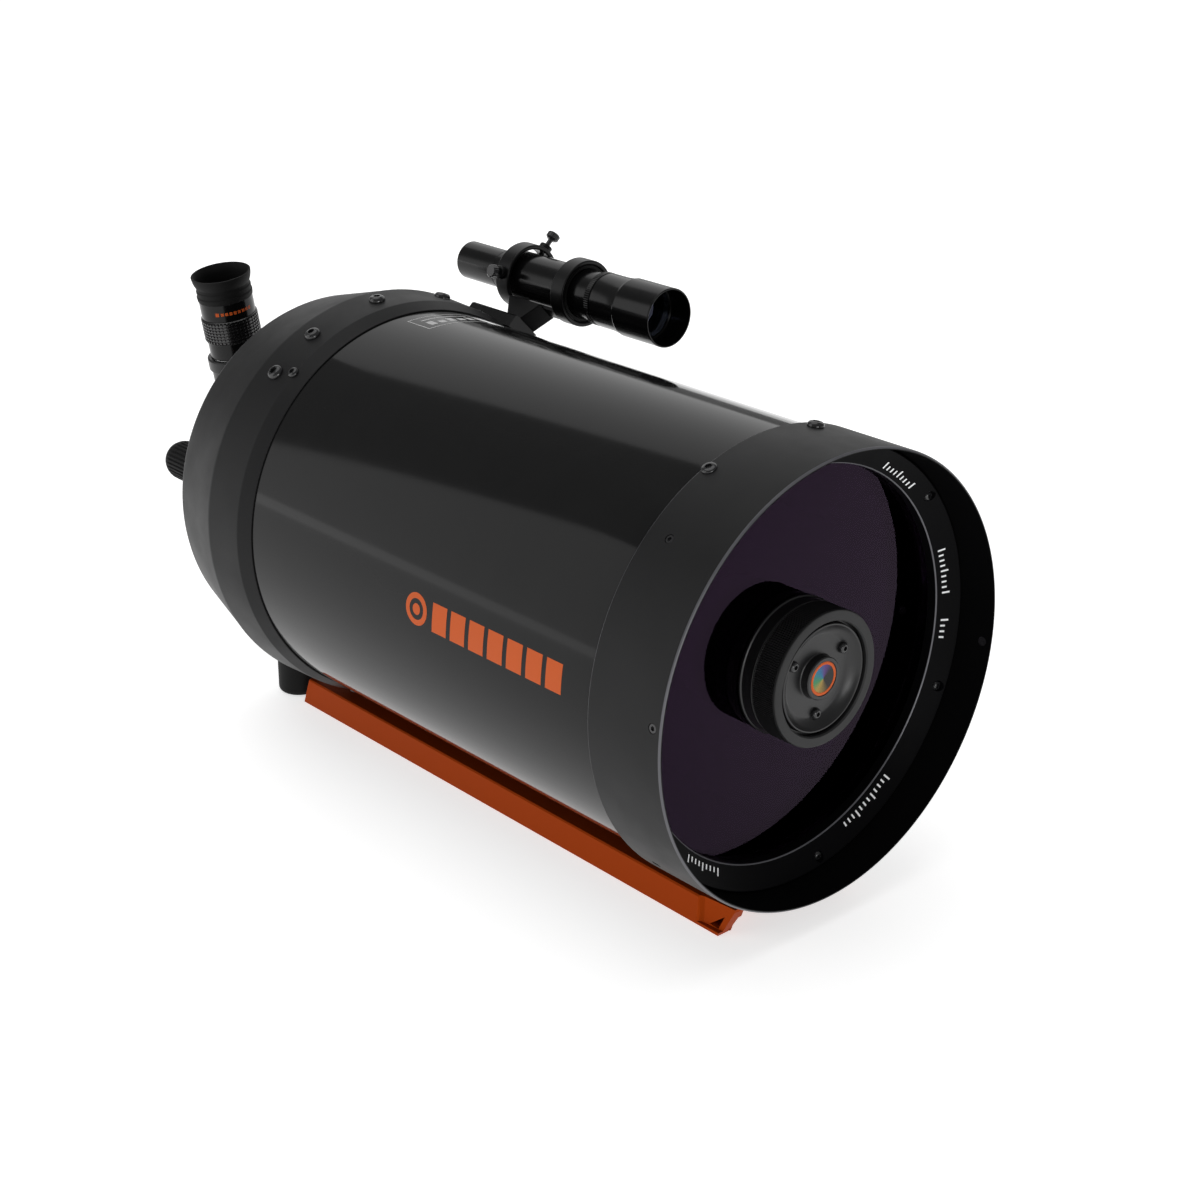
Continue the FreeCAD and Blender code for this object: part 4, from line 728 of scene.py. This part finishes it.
def build_focuser():
    at = Vector((FRONT_X, FOCUS.y, FOCUS.z))
    knob = [(441.0, 4.1), (441.0, 10.2), (441.4, 11.0), (442.2, 11.4), (447.0, 11.4),
            (447.6, 12.0)]
    knob += [(448.2, 12.0, 0.9), (476.0, 12.0, 0.9), (478.4, 11.9, 0.4), (480.6, 11.3),
             (483.0, 10.2), (485.0, 8.2)]
    knob += [(486.2, 5.4), (486.9, 2.6), (487.0, 0), (474.0, 0), (474.0, 4.1)]
    wave = (0.0, 0.0, 0.15, 0.9, 1.0, 0.9, 0.15)
    barrel("knob", "focus_knob", knob, at, RUBBER, soften=0, teeth=30, wave=wave)
    collar = [(420.0, 7.6), (420.0, 17.0), (423.4, 17.0), (424.0, 16.4), (424.0, 11.0),
              (439.4, 11.0), (440.0, 10.4)]
    collar += [(440.0, 4.1), (436.0, 4.1), (436.0, 7.6)]
    barrel("focus_collar", "focus_bushing", collar, at, ANODISED, segments=96, soften=0.3)


def build_eyepiece():
    low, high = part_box("eyepiece_eyecup")
    foot_low, foot_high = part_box("eyepiece_barrel")
    lean = ((low + high) - (foot_low + foot_high)).normalized()
    at = optical(EYEPIECE_DEPTH)
    tube = [(SEAT - 26.0, 13.8), (SEAT - 26.0, 15.4), (SEAT - 25.5, BARREL_R),
            (SEAT - 6, BARREL_R)]
    tube += [(SEAT, BARREL_R), (SEAT, 13.8)]
    barrel("eyepiece_nose", "eyepiece_barrel", tube, at, CHROME_UP, segments=128, soften=0.3,
           along=lean)
    body = [(SEAT, 13.8), (SEAT, 15.9), (SEAT + 0.5, 16.4), (67.6, 16.4), (67.6, 15.6),
            (82.4, 15.6), (82.4, 16.7)]
    body += [(93.4, 16.7), (93.4, 14.6), (98.0, 14.6), (98.0, 11.2), (91.0, 11.2), (91.0, 13.8)]
    barrel("eyepiece_shell", "eyepiece_body", body, at, GLOSS, segments=160, soften=0.3,
           along=lean)
    grip = [(67.6, 15.7), (67.6, 17.0), (68.0, 17.4)]
    pitch = (GRIP_HIGH - GRIP_LOW) / GRIP_ROWS
    for k in range(GRIP_ROWS):
        base = GRIP_LOW + k * pitch
        grip += [(base, 16.9), (base + 0.1, 17.6, 0.7), (base + pitch * 0.56, 17.6, 0.7),
                 (base + pitch * 0.64, 16.9)]
    grip += [(82.1, 17.4), (82.4, 17.0), (82.4, 15.7)]
    barrel("eyepiece_grip_dots", "eyepiece_grip", grip, at, GRIP, soften=0, teeth=44,
           wave=(0.0, 0.0, 0.0, 0.0, 1.0, 1.0), along=lean)
    cup = [(93.4, 14.6), (93.4, 17.0), (96.3, 17.3), (96.9, 16.8), (99.9, 17.0), (100.5, 16.6)]
    cup += [(101.8, 16.6)] + arc(102.0, 16.6, 108.2, 18.4, -0.35) + [(109.0, 18.5), (109.0, 17.6)]
    cup += arc(108.4, 17.2, 103.0, 15.4, -0.3) + [(98.8, 14.6)]
    barrel("eyepiece_cup", "eyepiece_eyecup", cup, at, RUBBER, segments=160, soften=0.35,
           along=lean)
    toward = (X - lean * X.dot(lean)).normalized()
    marks = [band_block(at, lean, toward, -59.0, -51.0, 86.3, 88.7, BAND_R)]
    for k in range(8):
        turn = -47.0 + 9.2 * k
        marks.append(band_block(at, lean, toward, turn, turn + 6.5, 86.5, 88.5, BAND_R))
    settle(joined("eyepiece_marks", marks), "eyepiece", ORANGE_INK)
    holder = [(18.5, 14.0), (18.5, 17.4), (48.0, 17.4), (48.8, 18.8), (55.6, 18.8), (56.4, 18.0),
              (56.4, 15.93)]
    holder += [(28.5, 15.93), (28.5, 14.0)]
    barrel("holder", "diagonal_eyepiece_holder", holder, at, ANODISED, segments=128, soften=0.3,
           along=lean)


def build_rear_fittings():
    origin = optical()
    back = [(423.2, 25.4), (423.2, 29.0), (423.7, 29.5), (424.2, 29.5, 0.5), (433.4, 29.5, 0.5),
            (434.0, 29.5), (435.0, 28.5)]
    back += [(435.0, 22.0), (436.5, 20.5), (465.2, 20.5), (466.0, 19.7), (466.0, 15.93),
             (433.0, 15.93), (433.0, 25.4)]
    barrel("visual_back_body", "visual_back", back, origin, ANODISED, soften=0, teeth=84,
           wave=KNURL)
    nose = [(447.0, 13.6), (447.0, 15.3), (447.6, BARREL_R), (470.0, BARREL_R), (470.0, 17.6),
            (485.5, 17.6), (485.5, 13.6)]
    barrel("nose_tube", "diagonal_nose", nose, origin, CHROME, segments=128, soften=0.3)
    tube = [(214.0, 19.5), (214.0, 21.5), (214.5, 22.0), (408.0, 22.0), (408.0, 34.0),
            (412.0, 34.0), (412.0, 19.5)]
    barrel("baffle", "primary_baffle_tube", tube, origin, BAFFLE, segments=96, soften=0.2)


# ---------------------------------------------------------------- printed marks
INK_R = 113.66                         # ink on the tube, just above its paint
MARK_ANGLE, DISC_DEPTH = 84.0, 184.0   # middle of the orange disc on the tube's side
MARK_STEP, MARK_LENGTH = 14.6, 11.4    # orange blocks in front of the disc
LABEL_LOW, LABEL_HIGH = -16.0, 5.4     # edges of the grey label's frame, in degrees
LABEL_FRONT, LABEL_REAR = 303.0, 323.3
TICK_FOOT = 105.2                      # radius where each index mark starts
TICK_STEP = 1.7                        # degrees from one index mark to the next


def sheet_mark(place, across=10, down=10):
    """Thin printed mark: place gives its points for u and v from 0 to 1."""
    bm = bmesh.new()
    grid = [[bm.verts.new(place(i / across, j / down)) for j in range(down + 1)]
            for i in range(across + 1)]
    for i in range(across):
        for j in range(down):
            bm.faces.new((grid[i][j], grid[i + 1][j], grid[i + 1][j + 1], grid[i][j + 1]))
    bmesh.ops.remove_doubles(bm, verts=bm.verts, dist=1e-6)
    bmesh.ops.recalc_face_normals(bm, faces=bm.faces)
    mesh = bpy.data.meshes.new("mark")
    bm.to_mesh(mesh)
    bm.free()
    return make_object("mark", mesh)


def tube_block(angle_0, angle_1, depth_0, depth_1):
    def place(u, v):
        return around(angle_0 + (angle_1 - angle_0) * u, INK_R, depth_0 + (depth_1 - depth_0) * v)
    return sheet_mark(place)


def tube_disc(angle, depth, inner, outer):
    def place(u, v):
        turn = 2 * math.pi * u
        reach = inner + (outer - inner) * v
        side = math.degrees(reach * math.sin(turn) / INK_R)
        return around(angle + side, INK_R, depth + reach * math.cos(turn))
    return sheet_mark(place, 48, 4)


def band_block(at, along, toward, turn_0, turn_1, height_0, height_1, radius):
    """Mark on a round band: turns in degrees about along, measured from toward."""
    other = along.cross(toward)

    def place(u, v):
        turn = math.radians(turn_0 + (turn_1 - turn_0) * u)
        way = toward * math.cos(turn) + other * math.sin(turn)
        return at + (along * (height_0 + (height_1 - height_0) * v) + way * radius) * MM
    return sheet_mark(place, 8, 3)


# Painted shade: place and length of the sheet behind the bar's end windows.
SHADE_SHEET_DEPTH, SHADE_SHEET_LENGTH = 28.5, 11.0


def build_bar_window_shade_sheet():
    """Thin wall in the bar's channel, behind the small windows at the bar's front end: painted
    shade, a sheet that stops the floor showing through so the windows read dark.
    """
    parts = []
    for side in (-1, 1):
        outline = [(39.7, 0.3), (37.4, 4.7), (36.5, 4.7), (38.8, 0.3)]
        points = [Vector((FRONT_X - SHADE_SHEET_DEPTH * MM, side * y * MM, z * MM)) for y, z in outline]
        parts.append(prism("shade_sheet_side", points, -X * SHADE_SHEET_LENGTH * MM, 0.1))
    settle(joined("bar_window_shade_sheet", parts), "tube_assembly", ORANGE)


def build_marks():
    marks = [tube_disc(MARK_ANGLE, DISC_DEPTH, 5.6, 8.6),
             tube_disc(MARK_ANGLE, DISC_DEPTH, 0.0, 3.0)]
    for k in range(7):
        rear = 171.0 - MARK_STEP * k
        marks.append(tube_block(80.2, 88.0, rear, rear - MARK_LENGTH))
    settle(joined("tube_marks", marks), "tube_assembly", ORANGE_INK)
    marks = [tube_block(LABEL_LOW, LABEL_HIGH, LABEL_FRONT, LABEL_FRONT + 0.7),
             tube_block(LABEL_LOW, LABEL_HIGH, LABEL_REAR - 0.7, LABEL_REAR),
             tube_block(LABEL_HIGH - 0.35, LABEL_HIGH, LABEL_FRONT, LABEL_REAR),
             tube_block(LABEL_LOW, LABEL_LOW + 0.35, LABEL_FRONT, LABEL_REAR)]
    for k in range(5):
        marks.append(tube_block(2.6 - 3.4 * k, 0.4 - 3.4 * k, 307.5, 314.0 - 2.0 * (k % 2)))
    marks.append(tube_block(-13.5, 2.6, 317.2, 318.4))
    settle(joined("tube_label", marks), "tube_assembly", GREY_INK)
    ticks = []
    for start, count in ((-30.0, 9), (-70.0, 9), (-92.0, 4), (-140.0, 12), (150.0, 9)):
        for k in range(count):
            ticks.append(cone_tick(start - TICK_STEP * k, 2.3 if k % 4 else 3.6))
    settle(joined("retainer_ticks", ticks), "tube_assembly", WHITE_INK)


def cone_tick(angle, length):
    """Short white index mark on the sloping face of the retaining ring."""
    slope = (CONE_INNER[0] - CONE_OUTER[0]) / (CONE_INNER[1] - CONE_OUTER[1])
    bm = bmesh.new()
    corners = []
    foot, end = TICK_FOOT, TICK_FOOT + length
    for r, side in ((foot, -0.5), (end, -0.5), (end, 0.5), (foot, 0.5)):
        depth = CONE_OUTER[0] + (r - CONE_OUTER[1]) * slope - 0.05
        corners.append(bm.verts.new(around(angle + math.degrees(side / r), r, depth)))
    bm.faces.new(corners)
    bmesh.ops.recalc_face_normals(bm, faces=bm.faces)
    mesh = bpy.data.meshes.new("tick")
    bm.to_mesh(mesh)
    bm.free()
    return make_object("tick", mesh)


# ---------------------------------------------------------------- carried-over nodes
KEPT = {
    "corrector_gasket": RUBBER, "secondary_baffle": BAFFLE, "primary_mirror": MIRROR,
    "mirror_carrier": ANODISED,
    "mirror_lock_ring": ANODISED, "focus_arm": ANODISED, "focus_bushing_screws": STEEL,
    "focus_screw": BRASS,
    "visual_back_thumbscrew": CHROME_UP, "diagonal_housing": PLASTIC, "diagonal_mirror": MIRROR,
    "diagonal_cover": PLASTIC, "diagonal_cover_screws": STEEL, "diagonal_thumbscrew": CHROME_UP,
    "eyepiece_lenses": LENS, "finder_shoe": BRACKET, "finder_shoe_screws": STEEL,
    "finder_lock_screw": STEEL,
    "finder_adjust_screw_top": STEEL, "finder_adjust_screw_side": STEEL,
    "finder_spring_plunger": STEEL, "finder_reticle": STEEL, "dovetail_bar": ORANGE,
    "dovetail_screws": STEEL, "bar_saddles": ANODISED, "rear_feet": RUBBER,
}
SOFT_EDGES = {"dovetail_bar": 0.5, "bar_saddles": 0.5, "diagonal_housing": 0.4,
              "diagonal_cover": 0.3, "finder_shoe": 0.3}


def dress_kept_nodes():
    for name, material in KEPT.items():
        obj = frame["nodes"][name]
        obj.data.materials.clear()
        obj.data.materials.append(material)
        if name in SOFT_EDGES:
            bevel = obj.modifiers.new("edges", "BEVEL")
            bevel.width = SOFT_EDGES[name] * MM
            bevel.segments = 3
            bevel.limit_method = "ANGLE"
            bevel.angle_limit = math.radians(35)
            even = obj.modifiers.new("even_normals", "WEIGHTED_NORMAL")
            even.keep_sharp = False


# ---------------------------------------------------------------- camera, floor and light
CAMERA_AT = (0.8425, -0.7169, 0.5728)
CAMERA_TURN = (48.28, 22.65, 0.38)     # azimuth, elevation and roll in degrees
CAMERA_LENS, CAMERA_SENSOR = 65.5, 36.0
FLOOR_REACH = 30.0
FLOOR_GLOW = 0.62
WORLD_STRENGTH = 0.24
SKY_STRENGTH, SKY_WIDTH = 0.9, 60      # soft light from above and its width in degrees


def build_camera():
    azimuth, elevation, roll = (math.radians(turn) for turn in CAMERA_TURN)
    back = Vector((math.sin(azimuth) * math.cos(elevation),
                   -math.cos(azimuth) * math.cos(elevation), math.sin(elevation)))
    right = Vector((math.cos(azimuth), math.sin(azimuth), 0))
    up = back.cross(right)
    right_rolled = right * math.cos(roll) + up * math.sin(roll)
    up_rolled = up * math.cos(roll) - right * math.sin(roll)
    data = bpy.data.cameras.new("camera")
    data.lens = CAMERA_LENS
    data.sensor_width = CAMERA_SENSOR
    data.clip_start = 0.01
    data.clip_end = 50.0
    camera = bpy.data.objects.new("camera", data)
    turn = Matrix((right_rolled, up_rolled, back)).transposed()
    camera.matrix_world = Matrix.Translation(CAMERA_AT) @ turn.to_4x4()
    bpy.context.scene.collection.objects.link(camera)
    bpy.context.scene.camera = camera


def area_light(name, at, target, width, height, power):
    data = bpy.data.lights.new(name, "AREA")
    data.shape = "RECTANGLE"
    data.size = width
    data.size_y = height
    data.energy = power
    light = bpy.data.objects.new(name, data)
    light.location = at
    light.rotation_euler = (Vector(target) - Vector(at)).to_track_quat("-Z", "Y").to_euler()
    bpy.context.scene.collection.objects.link(light)


def pale_floor():
    material = surface("pale_floor", (0.86, 0.86, 0.86), 0.8, tone=0.01, spread=0.02)
    shader = material.node_tree.nodes["Principled BSDF"]
    shader.inputs["Emission Color"].default_value = (1, 1, 1, 1)
    shader.inputs["Emission Strength"].default_value = FLOOR_GLOW
    shader.inputs["Specular IOR Level"].default_value = 0.1
    return material


def build_stage():
    mesh = bpy.data.meshes.new("floor")
    size = FLOOR_REACH
    level = CAD_BOX[0].z
    corners = [(-size, -size, level), (size, -size, level), (size, size, level),
               (-size, size, level)]
    mesh.from_pydata(corners, [], [(0, 1, 2, 3)])
    floor = make_object("floor", mesh)
    floor.data.materials.append(pale_floor())
    world = bpy.data.worlds.new("studio")
    world.use_nodes = True
    background = world.node_tree.nodes["Background"]
    background.inputs["Color"].default_value = (1, 1, 1, 1)
    background.inputs["Strength"].default_value = WORLD_STRENGTH
    bpy.context.scene.world = world
    data = bpy.data.lights.new("overhead_box", "SUN")
    data.energy = SKY_STRENGTH
    data.angle = math.radians(SKY_WIDTH)
    sky = bpy.data.objects.new("overhead_box", data)
    sky.rotation_euler = Vector((0.2, 0.1, -1)).to_track_quat("-Z", "Y").to_euler()
    bpy.context.scene.collection.objects.link(sky)
    area_light("back_screen", at=(-1.35, 1.75, 1.45), target=(0, 0.1, 0.2), width=4.2, height=1.9,
               power=19)
    area_light("side_wall", at=(-1.325, -2.12, 1.1), target=(-0.1, -0.05, 1.1), width=2.33,
               height=2.4, power=18)
    area_light("front_box", at=(1.5, -0.45, 0.3), target=(0.18, 0, 0.03), width=0.7, height=0.4,
               power=4.5)
    bpy.context.scene.view_settings.view_transform = "Standard"


build_camera()
build_stage()
build_tube()
build_cell_screws()
build_secondary()
build_finder()
build_focuser()
build_eyepiece()
build_rear_fittings()
# painted shade: sheet behind the bar's end windows
build_bar_window_shade_sheet()
build_marks()
dress_kept_nodes()
